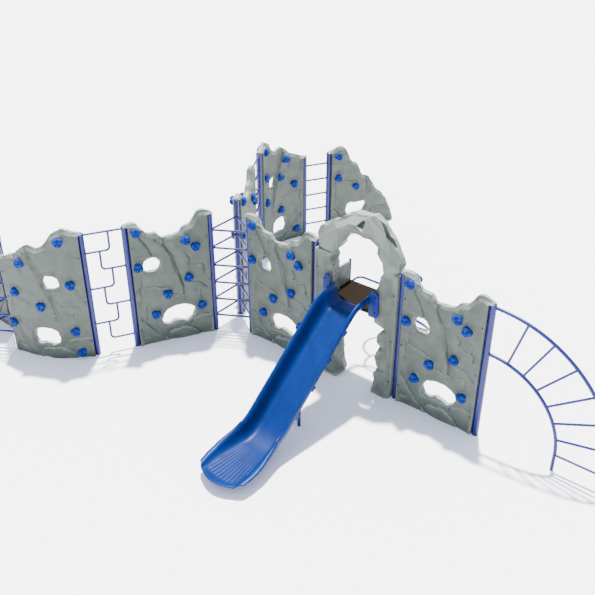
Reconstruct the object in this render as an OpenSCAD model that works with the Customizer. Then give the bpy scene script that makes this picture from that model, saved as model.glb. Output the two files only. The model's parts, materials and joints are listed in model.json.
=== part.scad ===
/* [Posts] */
// Height of the tall posts above the ground
post_h = 2110; // [1900:10:2400]
// Height of the short posts at the low panel ends
low_post_h = 1650; // [1450:10:1800]
// Outside diameter of every post
post_d = 89; // [76:1:114]
// Wall of the post tube
post_wall = 3.2; // [2:0.1:5]

/* [Layout] */
// Centre distance of the two posts of one panel
panel_pitch = 1306; // [1200:1:1450]
// Centre distance of the posts of a three-sided connector
corner_pitch = 604; // [520:1:760]
// Centre distance of the posts of the two wide ladders
ladder_pitch = 630; // [560:1:760]
// Centre distance of the posts of the narrow ladder
narrow_ladder_pitch = 500; // [440:1:620]
// Centre distance of the two arch posts
arch_pitch = 1466; // [1400:1:1700]

/* [Panels] */
// Thickness of the rock panels
panel_t = 150; // [120:1:180]
// Length of the sloping end panels
cliff_l = 1460; // [1350:1:1600]

/* [Holds] */
// Diameter of a hand hold at its base
hold_d = 124; // [90:1:140]
// Height of a hand hold above the panel
hold_h = 52; // [35:1:70]
// Diameter of the through bolt of a pair of holds
hold_bolt_d = 12; // [8:1:16]

/* [Rungs] */
// Diameter of the ladder rungs
rung_d = 34; // [27:1:42]
// Distance from one rung to the next
rung_pitch = 308; // [280:1:318]
// Height of the lowest rung
first_rung = 238; // [200:1:300]

/* [Arch] */
// Depth of the arch from front to back
arch_depth = 300; // [260:1:360]

/* [Deck] */
// Height of the deck surface
deck_z = 1380; // [1300:1:1450]
// Distance of the rear deck edge behind the post line
deck_back = 430; // [380:1:600]
// Thickness of the deck pan
deck_t = 60; // [40:1:90]
// Height of the small side barriers above the deck
barrier_h = 350; // [250:1:500]

/* [Slide] */
// Width of the chute over its rails
slide_w = 660; // [600:1:690]
// Height of the rails above the chute floor
rail_h = 240; // [180:1:300]
// Slope of the straight run
slide_slope = 36.7; // [30:0.1:38]
// Wall of the chute
chute_t = 16; // [10:1:24]

/* [Arched ladder] */
// Radius of the inner rail
fan_inner_r = 1115; // [1000:1:1250]
// Radius of the outer rail
fan_outer_r = 1820; // [1600:1:1840]
// Diameter of the two rails
fan_rail_d = 48; // [38:1:60]

/* [Loop climber] */
// Radius of one loop
loop_r = 350; // [280:1:380]
// Slope of the chain of loops
loop_slope = 46; // [40:1:50]
// Diameter of the loop tube
loop_d = 42; // [34:1:48]

/* [Hidden] */
$fn = 64;
// The wall runs meet in a system of 60 degree corners
turn = 60;
fit = 0.3;
post_r = post_d / 2;
cap_t = 4;
lug_t = 8;
lug_l = 58;
lug_h = 64;
lug_bolt_d = 12;
lug_reach = post_r + 34;
side = post_r + fit;
bolt_head_d = 24;
bolt_head_h = 8;
nut_h = 10;
high_lugs = [300, 1000, 1750];
low_lugs = [300, 1000, 1440];

// Posts of the layout, each in plan
function polar(p, a, r) = [p.x + r * cos(a), p.y + r * sin(a)];
arch_left = [0, 0];
arch_right = [arch_pitch, 0];
g_right = [arch_pitch + panel_pitch, 0];
c_left = [-panel_pitch, 0];
b_right = polar(c_left, 180 + turn / 2, corner_pitch);
d_near = polar(c_left, 180 - turn / 2, corner_pitch);
b_left = polar(b_right, 180 + turn, panel_pitch);
a_high = polar(b_left, 180 + turn, ladder_pitch);
a_low = polar(a_high, 180 + turn / 2, panel_pitch);
h_post = polar(a_low, 180 - turn / 2, corner_pitch);
corner_post = polar(a_low, 180 + turn / 2, corner_pitch);
d_far = polar(d_near, 180 - turn, panel_pitch);
e_high = polar(d_far, 180 - turn, ladder_pitch);
e_low = polar(e_high, 90, panel_pitch);
f_post = polar(e_low, turn, narrow_ladder_pitch);
a_centre = polar(a_high, 180 - turn / 2, panel_pitch);
e_centre = polar(e_high, turn / 2, panel_pitch);

TALL = [a_high, b_left, b_right, c_left, arch_left, arch_right, g_right, d_near, d_far, e_high];
SHORT = [a_low, e_low, f_post, h_post, corner_post];

// Wave panel: skyline from the left post to the right post, windows and holds
over = post_h + fit;
lap = 25;
w = panel_pitch;
wave_outline = [
    [side, 0], [side, over], [-lap, over], [-lap, post_h + 25], [20, post_h + 38],
    [95, post_h + 50], [165, post_h + 30], [215, post_h - 50], [310, post_h - 155],
    [450, post_h - 172], [540, post_h - 270], [w - 626, post_h - 258], [w - 496, post_h - 228],
    [w - 436, post_h - 148], [w - 321, post_h - 112], [w - 256, post_h - 28], [w - 196, post_h + 62],
    [w - 106, post_h + 76], [w + lap, post_h + 30], [w + lap, over], [w - side, over], [w - side, 0]];
upper_window = [
    [188, 1380], [205, 1310], [270, 1270], [400, 1265], [470, 1300], [500, 1385], [490, 1480], [430, 1550],
    [300, 1555], [220, 1510]];
lower_window = [
    [385, 400], [430, 500], [505, 600], [640, 645], [800, 655], [900, 620], [985, 560], [1010, 460],
    [965, 330], [860, 255], [750, 290], [640, 310], [550, 265], [440, 275]];
wave_holds = [
    [148, 2015], [132, 1426], [888, 1753], [1036, 1627], [895, 1109], [545, 882], [1076, 567], [331, 553]];

// Sloping end panel
cliff_over = low_post_h + fit;
cliff_outline = [
    [side, 0], [side, cliff_over], [-lap, cliff_over], [-lap, low_post_h + 20], [60, low_post_h + 45],
    [190, low_post_h + 100], [300, low_post_h + 85], [360, low_post_h + 15], [490, low_post_h - 240],
    [610, low_post_h - 300], [710, low_post_h - 550], [880, low_post_h - 605],
    [cliff_l - 440, 770], [cliff_l - 310, 670], [cliff_l - 170, 490], [cliff_l - 110, 320],
    [cliff_l - 30, 120], [cliff_l, 0]];
cliff_window = [
    [345, 400], [380, 540], [450, 580], [600, 560], [760, 575], [850, 520], [870, 420], [800, 300],
    [650, 260], [480, 240], [390, 280]];
cliff_holds = [[183, 1578], [185, 1133], [570, 902]];

// Curved panel: skyline over the chord, from the low end to the high end
half = panel_pitch / 2;
curved_outline = [
    [-half - 120, 0], [-half - 120, low_post_h + 20], [-600, low_post_h + 25], [-490, low_post_h + 80],
    [-360, post_h - 330], [-250, post_h - 230], [-115, post_h - 150], [25, post_h - 200],
    [115, post_h - 150], [half - 403, post_h + 30], [half - 333, post_h + 75], [half - 223, post_h + 125],
    [half - 123, post_h + 65], [half - 13, post_h + 25], [half + 120, post_h + 20], [half + 120, 0]];
curved_windows = [
    [[15, 1300], [50, 1235], [160, 1215], [265, 1240], [300, 1320], [285, 1440], [215, 1495], [90, 1490],
        [30, 1430]],
    [[-294, 300], [-260, 470], [-190, 560], [-60, 590], [80, 575], [180, 520], [204, 400], [165, 260],
        [60, 205], [-120, 230], [-240, 215]]];
// Holds of the curved panel as angle from its high end and height
outer_holds = [
    [13.9, 2050], [40.8, 1675], [48.4, 1150], [10.7, 1330], [31.1, 963], [54.3, 566], [12, 512], [9.8, 125]];
inner_holds = [
    [8, 2080], [38.8, 1720], [8, 1580], [32.2, 1400], [48, 1178], [9.3, 1070], [32.4, 732], [50.7, 216]];

bolt_grip = 60;
bore_d = hold_bolt_d + 2 * fit;
counterbore = 12;

module at(p, heading) {
    translate([p.x, p.y, 0]) rotate(heading) children();
}

// A cylinder between two points
module rod(a, b, d) {
    v = b - a;
    l = norm(v);
    translate(a) rotate([0, acos(v.z / l), atan2(v.y, v.x)]) cylinder(d = d, h = l);
}

// Posts

module lug(z) {
    translate([post_r - 2, -lug_t / 2, z - lug_h / 2]) difference() {
        cube([lug_l + 2, lug_t, lug_h]);
        translate([lug_reach - post_r + 2, lug_t + 1, lug_h / 2])
            rotate([90, 0, 0]) cylinder(d = lug_bolt_d + 2 * fit, h = lug_t + 2);
    }
}

module post(p, h, headings) {
    color("slateblue") at(p, 0) {
        difference() {
            cylinder(d = post_d, h = h - cap_t);
            translate([0, 0, -1]) cylinder(d = post_d - 2 * post_wall, h = h + 2);
        }
        for (a = headings, z = h == post_h ? high_lugs : low_lugs) rotate(a) lug(z);
    }
}

module post_cap(p, h) {
    color("darkslateblue") at(p, 0) translate([0, 0, h - cap_t]) cylinder(d = post_d, h = cap_t);
}

module post_caps() {
    for (p = TALL) post_cap(p, post_h);
    for (p = SHORT) post_cap(p, low_post_h);
}

// Rock panels

module face_bore(z, out) {
    translate([0, -out * (panel_t / 2 + 1), z]) rotate([-90 * out, 0, 0])
        cylinder(d = bore_d, h = bolt_grip + 3);
}

// Slots and cross bores for the lugs of one post, seen from that post
module lug_slots(levels) {
    for (z = levels) {
        translate([side - 1, -lug_t / 2 - fit, z - lug_h / 2 - fit])
            cube([post_r + lug_l - side + 1 + fit, lug_t + 2 * fit, lug_h + 2 * fit]);
        translate([lug_reach, panel_t, z])
            rotate([90, 0, 0]) cylinder(d = lug_bolt_d + 2 * fit, h = 2 * panel_t);
    }
}

module flat_panel(outline, windows, holds) {
    color("lightslategray") difference() {
        translate([0, panel_t / 2, 0]) rotate([90, 0, 0]) linear_extrude(panel_t) difference() {
            polygon(outline);
            for (q = windows) polygon(q);
        }
        for (h = holds, out = [-1, 1]) translate([h.x, 0, 0]) face_bore(h.y, out);
        children();
    }
}

module wave_panel(p, heading) {
    at(p, heading) flat_panel(wave_outline, [upper_window, lower_window], wave_holds) {
        lug_slots(high_lugs);
        translate([w, 0, 0]) rotate(180) lug_slots(high_lugs);
    }
}

module cliff_panel(p, heading) {
    at(p, heading) flat_panel(cliff_outline, [cliff_window], cliff_holds) lug_slots(low_lugs);
}

module ring_sector(from, to, z0, z1, t) {
    rotate(from) rotate_extrude(angle = to - from, $fn = 300)
        translate([panel_pitch - t / 2, z0]) square([t, z1 - z0]);
}

// Flat seats for the bolt heads and nuts in the curved faces
curve_sag = panel_pitch - sqrt(pow(panel_pitch, 2) - pow(lug_reach, 2));
seat_depth = 1;

module bolt_seats(levels, shift) {
    for (z = levels, out = [-1, 1]) translate([lug_reach, shift + out * (panel_t / 2 - seat_depth), z])
        rotate([-90 * out, 0, 0]) cylinder(d = bolt_head_d + 4, h = 20);
}

// The curved panel about its own centre, its low end at -30 and its high end at +30 degrees
module curved_panel(centre, middle) {
    reach = asin(side / panel_pitch);
    beyond = asin(lap / panel_pitch);
    top = post_h + 300;
    color("lightslategray") at(centre, middle) difference() {
        intersection() {
            ring_sector(-turn / 2 - beyond, turn / 2 + beyond, 0, top, panel_t);
            rotate([90, 0, 90]) linear_extrude(2 * panel_pitch) difference() {
                polygon(curved_outline);
                for (q = curved_windows) polygon(q);
            }
        }
        ring_sector(turn / 2 - reach, turn / 2 + reach, -1, over, panel_t + 2);
        ring_sector(-turn / 2 - reach, reach - turn / 2, -1, cliff_over, panel_t + 2);
        for (h = outer_holds) rotate(turn / 2 - h.x) translate([panel_pitch, 0, 0]) rotate(90) face_bore(h.y, 1);
        for (h = inner_holds) rotate(turn / 2 - h.x) translate([panel_pitch, 0, 0]) rotate(90) face_bore(h.y, -1);
        rotate(turn / 2) translate([panel_pitch, 0, 0]) rotate(-90) {
            lug_slots(high_lugs);
            bolt_seats(high_lugs, -curve_sag);
        }
        rotate(-turn / 2) translate([panel_pitch, 0, 0]) rotate(90) {
            lug_slots(low_lugs);
            bolt_seats(low_lugs, curve_sag);
        }
    }
}

// Hand holds, base on z = 0 and face towards +z

module hold() {
    r = hold_d / 2;
    color("royalblue") rotate_extrude() polygon([
        [bore_d / 2, 0], [r, 0], [r, 10], [r - 12, hold_h - 16], [r - 26, hold_h], [13, hold_h],
        [13, hold_h - counterbore], [bore_d / 2, hold_h - counterbore]]);
}

module hold_bolt() {
    color("dimgray") {
        translate([0, 0, 1 - bolt_grip]) cylinder(d = hold_bolt_d, h = hold_h - counterbore + bolt_grip - 1 + fit);
        translate([0, 0, hold_h - counterbore + fit]) cylinder(d = 22, h = counterbore - 4);
    }
}

// Places its child on a hold's seat: out is 1 on the front face and -1 on the rear face
module flat_seats(p, heading, holds) {
    at(p, heading) for (h = holds, out = [-1, 1])
        translate([h.x, -out * (panel_t / 2 + fit), h.y]) rotate([90 * out, 0, 0]) children();
}

module curved_seats(centre, middle) {
    sag = pow(hold_d / 2, 2) / (2 * (panel_pitch - panel_t / 2));
    at(centre, middle) {
        for (h = outer_holds) rotate(turn / 2 - h.x)
            translate([panel_pitch + panel_t / 2 + fit, 0, h.y]) rotate([0, 90, 0]) children();
        for (h = inner_holds) rotate(turn / 2 - h.x)
            translate([panel_pitch - panel_t / 2 - fit - sag, 0, h.y]) rotate([0, -90, 0]) children();
    }
}

module seats_a() curved_seats(a_centre, 330 - turn / 2) children();
module seats_b() flat_seats(b_left, turn, wave_holds) children();
module seats_c() flat_seats(c_left, 0, wave_holds) children();
module seats_d() flat_seats(d_near, 180 - turn, wave_holds) children();
module seats_e() curved_seats(e_centre, 180) children();
module seats_f() flat_seats(f_post, turn, cliff_holds) children();
module seats_g() flat_seats(arch_right, 0, wave_holds) children();
module seats_h() flat_seats(h_post, 180, cliff_holds) children();

module hold_bolts() {
    seats_a() hold_bolt();
    seats_b() hold_bolt();
    seats_c() hold_bolt();
    seats_d() hold_bolt();
    seats_e() hold_bolt();
    seats_f() hold_bolt();
    seats_g() hold_bolt();
    seats_h() hold_bolt();
}

// One cross bolt through a panel end and its lug
module cross_bolt(t) {
    color("dimgray") rotate([90, 0, 0]) {
        translate([0, 0, -t / 2 - fit - nut_h]) cylinder(d = lug_bolt_d, h = t + 2 * fit + nut_h + 0.01);
        translate([0, 0, t / 2 + fit]) cylinder(d = bolt_head_d, h = bolt_head_h);
        translate([0, 0, -t / 2 - fit - nut_h]) cylinder(d = bolt_head_d, h = nut_h, $fn = 6);
    }
}

module cross_bolts(p, heading, levels, t, shift = 0) {
    at(p, heading) for (z = levels) translate([lug_reach, shift, z]) cross_bolt(t);
}

module panel_bolts() {
    cross_bolts(b_left, turn, high_lugs, panel_t);
    cross_bolts(b_right, 180 + turn, high_lugs, panel_t);
    cross_bolts(c_left, 0, high_lugs, panel_t);
    cross_bolts(arch_left, 180, high_lugs, panel_t);
    cross_bolts(arch_left, 0, high_lugs, arch_depth);
    cross_bolts(arch_right, 180, high_lugs, arch_depth);
    cross_bolts(arch_right, 0, high_lugs, panel_t);
    cross_bolts(g_right, 180, high_lugs, panel_t);
    cross_bolts(d_near, 180 - turn, high_lugs, panel_t);
    cross_bolts(d_far, -turn, high_lugs, panel_t);
    cross_bolts(a_high, 180 + turn, high_lugs, panel_t - 2 * seat_depth, -curve_sag);
    cross_bolts(a_low, 0, low_lugs, panel_t - 2 * seat_depth, curve_sag);
    cross_bolts(e_high, 180 - turn, high_lugs, panel_t - 2 * seat_depth, -curve_sag);
    cross_bolts(e_low, 180 + turn, low_lugs, panel_t - 2 * seat_depth, curve_sag);
    cross_bolts(f_post, turn, low_lugs, panel_t);
    cross_bolts(h_post, 180, low_lugs, panel_t);
}

// Ladders

module post_room(p) {
    at(p, 0) translate([0, 0, -1]) cylinder(r = side, h = post_h + 2);
}

module rung(p, q, z) {
    color("mediumslateblue") difference() {
        rod([p.x, p.y, z], [q.x, q.y, z], rung_d);
        post_room(p);
        post_room(q);
    }
}

module ladder(p, q, first, count) {
    for (i = [0 : count - 1]) rung(p, q, first + i * rung_pitch);
}

module corner_ladder(p, q, r, count) {
    ladder(p, q, first_rung + 42, count);
    ladder(q, r, first_rung + 42, count);
    ladder(r, p, first_rung + 42, count);
}

// One bar of the zigzag ladder: it starts at the post on x = 0, bends up and ends under the next bar
module zigzag_bar(z, reach) {
    bend = 60;
    difference() {
        translate([0, 0, z]) {
            rotate([0, 90, 0]) cylinder(d = rung_d, h = reach - bend);
            translate([reach - bend, 0, bend]) rotate([90, 0, 0]) rotate(-90)
                rotate_extrude(angle = 90) translate([bend, 0]) circle(d = rung_d);
            translate([reach, 0, bend]) cylinder(d = rung_d, h = rung_pitch - bend);
        }
        translate([0, 0, z - rung_d]) cylinder(r = side, h = 2 * rung_d);
        translate([0, 0, z + rung_pitch]) rotate([0, 90, 0]) cylinder(d = rung_d + 2 * fit, h = ladder_pitch);
    }
}

module zigzag_ladder_bars() {
    near = 0.62 * ladder_pitch;
    color("mediumslateblue") {
        for (i = [1, 3, 5]) at(a_high, turn) zigzag_bar(first_rung + i * rung_pitch, near);
        for (i = [0, 2, 4]) at(b_left, 180 + turn) zigzag_bar(first_rung + i * rung_pitch, near);
    }
    rung(a_high, b_left, first_rung + 6 * rung_pitch);
}

// Arched ladder beyond the right end

fan_z = 250;
fan_step = 12.4;

module fan_rail(r) {
    color("mediumslateblue") translate([g_right.x, 0, fan_z]) difference() {
        union() {
            rotate([90, 0, 0]) rotate_extrude(angle = 90, $fn = 240) translate([r, 0]) circle(d = fan_rail_d, $fn = 48);
            translate([r, 0, -fan_z]) cylinder(d = fan_rail_d, h = fan_z);
        }
        translate([0, 0, -fan_z]) cylinder(r = side, h = 2 * post_h);
    }
}

module arched_ladder_rungs() {
    gap = fan_rail_d / 2 + fit;
    color("mediumslateblue") for (i = [0 : 6]) translate([g_right.x, 0, fan_z]) rotate([0, -i * fan_step, 0])
        rod([fan_inner_r + gap, 0, 0], [fan_outer_r - gap, 0, 0], rung_d);
}

// Arch

pier_top = post_h - 60;
left_inner = 322;
right_inner = arch_pitch - 380;

module arch_slab(points) {
    translate([0, arch_depth / 2, 0]) rotate([90, 0, 0]) linear_extrude(arch_depth) polygon(points);
}

// Bores in the front of a pier for the two screws of a slide flange
module flange_bores(x) {
    for (z = flange_screws) translate([x, -arch_depth / 2 - 1, z]) rotate([-90, 0, 0])
        cylinder(d = bore_d, h = bolt_grip + 3);
}

module arch_left_pier() {
    color("lightslategray") difference() {
        arch_slab([
            [side, 0], [495, 0], [505, 110], [470, 250], [475, 400], [430, 560], [390, 750], [345, 1000],
            [left_inner, 1300], [left_inner, 1500], [left_inner - 18, 1900], [left_inner - 4, pier_top],
            [side, pier_top]]);
        lug_slots(high_lugs);
        flange_bores(left_flange_x);
    }
}

module arch_right_pier() {
    r = arch_pitch;
    color("lightslategray") difference() {
        arch_slab([
            [r - side, 0], [r - side, pier_top], [r - 276, pier_top], [r - 267, 1990], [r - 336, 1820],
            [r - 368, 1760], [r - 378, 1600], [r - 366, 1430], [right_inner, 1310], [r - 340, 1235],
            [r - 230, 1120], [r - 336, 900], [r - 260, 790], [r - 316, 720], [r - 326, 560], [r - 285, 430],
            [r - 326, 330], [r - 326, 170], [r - 366, 60], [r - 350, 0]]);
        translate([r, 0, 0]) rotate(180) lug_slots(high_lugs);
        flange_bores(right_flange_x);
    }
}

module arch_crown() {
    r = arch_pitch;
    base = pier_top + fit;
    color("lightslategray") arch_slab([
        [62, base], [62, post_h + 120], [52, post_h + 160], [138, post_h + 275], [343, post_h + 425],
        [500, post_h + 510], [640, post_h + 598], [705, post_h + 590], [r - 495, post_h + 678],
        [r - 456, post_h + 659], [r - 288, post_h + 441], [r - 167, post_h + 300], [r - 80, post_h + 140],
        [r - 80, base], [r - 276, base], [r - 296, post_h + 55], [r - 384, post_h + 205],
        [r - 372, post_h + 269], [r - 405, post_h + 303], [r - 505, post_h + 375], [767, post_h + 372],
        [619, post_h + 363], [520, post_h + 310], [440, post_h + 190], [424, post_h + 78], [left_inner - 4, base]]);
}

// Deck

deck_left = 290;
deck_right = arch_pitch - 301;
deck_front = -arch_depth / 2 + 40;
deck_behind = arch_depth / 2 + fit;
inner_left = left_inner + 18;
inner_right = right_inner - 15;
pan_wall = 5;

function deck_outline(d) = [
    [inner_left + d, deck_front + d], [inner_right - d, deck_front + d], [inner_right - d, deck_behind + d],
    [deck_right - d, deck_behind + d], [deck_right - d, deck_back - d], [deck_left + d, deck_back - d],
    [deck_left + d, deck_behind + d], [inner_left + d, deck_behind + d]];

module deck_pan() {
    color("saddlebrown") translate([0, 0, deck_z - deck_t]) difference() {
        linear_extrude(deck_t) polygon(deck_outline(0));
        translate([0, 0, -1]) linear_extrude(deck_t - pan_wall + 1) polygon(deck_outline(pan_wall));
    }
}

beam = 60;
beam_y = arch_depth / 2 + 40;

// A cross beam behind the piers, carried by an arm from each arch post
module deck_frame() {
    color("slateblue") translate([0, 0, deck_z - deck_t - fit - beam]) difference() {
        union() {
            translate([-beam / 3, beam_y, 0]) cube([arch_pitch + 2 * beam / 3, beam, beam]);
            for (x = [0, arch_pitch]) translate([x - beam / 3, 0, 0]) cube([2 * beam / 3, beam_y + 1, beam]);
        }
        for (x = [0, arch_pitch]) translate([x, 0, -1]) cylinder(r = side, h = beam + 2);
    }
}

barrier_t = 38;
barrier_post_d = 38;

module barrier(x) {
    color("lightslategray") translate([x, deck_behind, deck_z + fit]) rotate([90, 0, 90])
        linear_extrude(barrier_t) polygon([
            [0, 0], [0, barrier_h - 10], [60, barrier_h], [barrier_y - deck_behind - barrier_post_d / 2 - fit, barrier_h - 15],
            [barrier_y - deck_behind - barrier_post_d / 2 - fit, 0]]);
}

barrier_y = deck_back - barrier_post_d / 2 - 4;

module barrier_posts() {
    color("slateblue") for (x = [deck_left + barrier_t / 2, deck_right - barrier_t / 2])
        translate([x, barrier_y, deck_z + fit]) cylinder(d = barrier_post_d, h = barrier_h + 10);
}

// Loop climber: a chain of crossing loops in one sloping plane behind the deck

loop_gap = asin((loop_d / 2 + 1) / loop_r);
loop_step = loop_r * sqrt(2);
loop_z = deck_z - 30;
loop_x = arch_pitch / 2 - 13;
loop_run = loop_z / sin(loop_slope);
// Centres of the loops in the sloping plane, and the direction of each step
loop_turns = [80, 118, 62];
loop_1 = [loop_x, 0];
loop_2 = polar(loop_1, loop_turns[0], loop_step);
loop_3 = polar(loop_2, loop_turns[1], loop_step);
loop_4 = polar(loop_3, loop_turns[2], loop_step);
leg_splay = 15;

module loop_plane() {
    translate([0, deck_back, loop_z]) rotate([-loop_slope, 0, 0]) children();
}

module loop_arc(c, from, to) {
    translate([c.x, c.y, 0]) rotate(from) rotate_extrude(angle = to - from)
        translate([loop_r, 0]) circle(d = loop_d);
}

// Level top step: a bow of tube that leaves the deck's rear edge
bow_d = 34;
bow_out = 210;
bow_r = 90;
bow_ends = [deck_left + bow_d / 2 + 18, deck_right - bow_d / 2 - 18];

module top_bow() {
    translate([0, deck_back + fit, loop_z]) {
        for (e = bow_ends) translate([e, 0, 0]) rotate([-90, 0, 0]) cylinder(d = bow_d, h = bow_out - bow_r);
        for (i = [0, 1]) translate([bow_ends[i] + (1 - 2 * i) * bow_r, bow_out - bow_r, 0])
            rotate(i == 0 ? 90 : 0) rotate_extrude(angle = 90) translate([bow_r, 0]) circle(d = bow_d);
        translate([bow_ends[0] + bow_r, bow_out, 0]) rotate([0, 90, 0]) cylinder(d = bow_d, h = bow_ends[1] - bow_ends[0] - 2 * bow_r);
    }
}

module climber_loops() {
    open = 45 + loop_gap;
    color("mediumslateblue") {
        top_bow();
        difference() {
            loop_plane() loop_arc(loop_1, -8, 188);
            translate([0, deck_back - 499 + fit, loop_z - 250]) cube([arch_pitch, 499, 500]);
        }
        loop_plane() for (i = [0 : 2]) {
            a = 180 + loop_turns[i];
            loop_arc([loop_2, loop_3, loop_4][i], a + open, a + 360 - open);
        }
    }
}

module climber_legs() {
    length = loop_run - loop_4.y;
    color("mediumslateblue") intersection() {
        loop_plane() for (s = [-1, 1])
            translate([loop_4.x, loop_4.y, 0]) rotate(90 - s * leg_splay) translate([loop_r + loop_d / 2 + fit, 0, 0])
                rotate([0, 90, 0]) cylinder(d = loop_d, h = length);
        translate([-arch_pitch, 0, 0]) cube([4 * arch_pitch, 3 * deck_z, deck_z]);
    }
}

// Slide: the chute runs towards -y; f is the distance in front of the post line

slide_x = (inner_left + inner_right) / 2;
slide_f = -deck_front + fit;
entry_l = 177;
bend_top = 260;
bend_low = 700;
exit_z = 150;
exit_l = 800;
exit_half = slide_w / 2 + 70;
slope_f = slide_f + entry_l + bend_top * sin(slide_slope);
slope_z = deck_z - bend_top * (1 - cos(slide_slope));
slope_l = (slope_z - exit_z - bend_low * (1 - cos(slide_slope))) / sin(slide_slope);
foot_f = slope_f + slope_l * cos(slide_slope) + bend_low * sin(slide_slope);
tip_f = foot_f + exit_l;

// Rail height, half width and rounding of the end along the chute
rail_line = [[foot_f - 140, rail_h], [foot_f + 35, 0.79 * rail_h], [foot_f + 445, 0.42 * rail_h], [tip_f, 0.25 * rail_h]];
half_line = [[foot_f - 200, slide_w / 2], [foot_f + 350, exit_half], [foot_f + 600, exit_half], [tip_f, exit_half - 20]];
round_line = [[foot_f, 0], [tip_f, 180]];

// Stations of the floor line as distance, height and slope
stations = concat(
    [for (f = [slide_f, slide_f + entry_l]) [f, deck_z, 0]],
    [for (i = [1 : 5]) let (a = slide_slope * i / 5)
        [slide_f + entry_l + bend_top * sin(a), deck_z - bend_top * (1 - cos(a)), a]],
    [for (i = [0 : 7]) let (a = slide_slope * (1 - i / 7))
        [foot_f - bend_low * sin(a), exit_z + bend_low * (1 - cos(a)), a]],
    [for (i = [1 : 8]) [foot_f + exit_l * i / 8, exit_z, 0]]);

// Half section from the middle out: share of the half width and of the rail height
upper_half = [
    [0, 0], [0.42, 0], [0.58, 0.05], [0.68, 0.2], [0.745, 0.45], [0.8, 0.79], [0.85, 0.94], [0.91, 1],
    [0.97, 0.96], [1, 0.84], [0.994, 0.66]];
// Step from each point to the underside, as a share of the wall
under_half = [
    [0, -1], [0, -1], [0.35, -0.94], [0.8, -0.6], [0.95, -0.25], [0.8, -0.6], [0.55, -0.88], [0, -1],
    [-0.6, -0.85], [-0.95, -0.3], [-0.95, 0]];
last = len(upper_half) - 1;
across = 2 * last + 1;

// One point of the chute: station, place across from 0 to across - 1, and layer (1 is the underside)
function chute_point(i, k, layer) = let (
    q = stations[i],
    m = abs(k - last),
    side_of = k < last ? -1 : 1,
    half_w = lookup(q.x, half_line),
    s = side_of * (upper_half[m].x * half_w + layer * under_half[m].x * chute_t),
    h = upper_half[m].y * lookup(q.x, rail_line) + layer * under_half[m].y * chute_t,
    back_by = lookup(q.x, round_line) * pow(s / half_w, 2))
    [slide_x + s, -(q.x + h * sin(q.z) - back_by), q.y + h * cos(q.z)];

// Number of a point in the point list, and the two triangles of a four-sided patch
function at_point(i, k, layer) = (i * across + k) * 2 + layer;
function patch(a, b, c, d) = [[a, b, c], [a, c, d]];

module chute_body() {
    rows = len(stations) - 1;
    end = across - 1;
    polyhedron(
        points = [for (i = [0 : rows], k = [0 : end], layer = [0, 1]) chute_point(i, k, layer)],
        faces = [
            for (i = [0 : rows - 1], k = [0 : end - 1])
                each patch(at_point(i, k, 0), at_point(i, k + 1, 0), at_point(i + 1, k + 1, 0), at_point(i + 1, k, 0)),
            for (i = [0 : rows - 1], k = [0 : end - 1])
                each patch(at_point(i, k, 1), at_point(i + 1, k, 1), at_point(i + 1, k + 1, 1), at_point(i, k + 1, 1)),
            for (i = [0 : rows - 1])
                each patch(at_point(i, 0, 0), at_point(i + 1, 0, 0), at_point(i + 1, 0, 1), at_point(i, 0, 1)),
            for (i = [0 : rows - 1])
                each patch(at_point(i, end, 0), at_point(i, end, 1), at_point(i + 1, end, 1), at_point(i + 1, end, 0)),
            for (k = [0 : end - 1])
                each patch(at_point(0, k, 0), at_point(0, k, 1), at_point(0, k + 1, 1), at_point(0, k + 1, 0)),
            for (k = [0 : end - 1])
                each patch(at_point(rows, k, 0), at_point(rows, k + 1, 0), at_point(rows, k + 1, 1), at_point(rows, k, 1))]);
}

// Four moulded gussets under each rail
gusset_l = 80;
gusset_pitch = slope_l / 4;

module slide_chute() {
    color("dodgerblue") {
        chute_body();
        for (i = [0 : 3], out = [-1, 1]) translate([slide_x + out * (slide_w / 2 - 28), -slope_f, slope_z])
            rotate([slide_slope, 0, 0]) translate([-11, -(i + 0.6) * gusset_pitch, 0.5 * rail_h])
                cube([22, gusset_l, 0.25 * rail_h]);
    }
}

flange_t = 30;
flange_low = deck_z - 50;
flange_top = deck_z + 375;
flange_screws = [deck_z + 40, deck_z + 290];
left_ear = 250;
right_ear = arch_pitch - 276;
left_flange_x = left_ear + 35;
right_flange_x = right_ear - 40;

// Hood ear of the slide from an outer edge to the rail, in front of a pier
module slide_flange(outer, inner, screw_x) {
    s = sign(inner - outer);
    translate([0, -arch_depth / 2 - fit, 0]) rotate([90, 0, 0]) linear_extrude(flange_t) difference() {
        polygon([
            [outer, flange_low + 30], [outer + s * 25, flange_low], [inner, flange_low], [inner, flange_top - 60],
            [inner - s * 20, flange_top - 20], [outer + s * 85, flange_top], [outer + s * 40, flange_top - 15],
            [outer + s * 10, flange_top - 60], [outer, flange_top - 120]]);
        for (z = flange_screws) translate([screw_x, z]) circle(d = bore_d);
    }
}

module slide_flanges() {
    color("slateblue") {
        slide_flange(left_ear, slide_x - slide_w / 2 - fit, left_flange_x);
        slide_flange(right_ear, slide_x + slide_w / 2 + fit, right_flange_x);
    }
}

leg_d = 48;
leg_f = 1371;
leg_z = slope_z - (leg_f - slope_f) * tan(slide_slope) - (chute_t + fit) / cos(slide_slope);
saddle_t = 8;
saddle_w = 150;
saddle_l = 110;
leg_x = slide_x + 57;

// A block that hangs from the underside of the chute over the leg, in the slope of the chute
module under_chute(length, width, depth) {
    translate([leg_x, -leg_f, leg_z]) rotate([slide_slope, 0, 0])
        translate([-width / 2, -length / 2, -depth]) cube([width, length, depth]);
}

module slide_saddle() {
    color("slateblue") under_chute(saddle_l, saddle_w, saddle_t);
}

module slide_leg() {
    color("slateblue") difference() {
        translate([leg_x, -leg_f, 0]) cylinder(d = leg_d, h = leg_z + 60);
        translate([0, 0, -(saddle_t + fit) / cos(slide_slope) + 400]) under_chute(600, 400, 400 * cos(slide_slope));
    }
}

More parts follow.
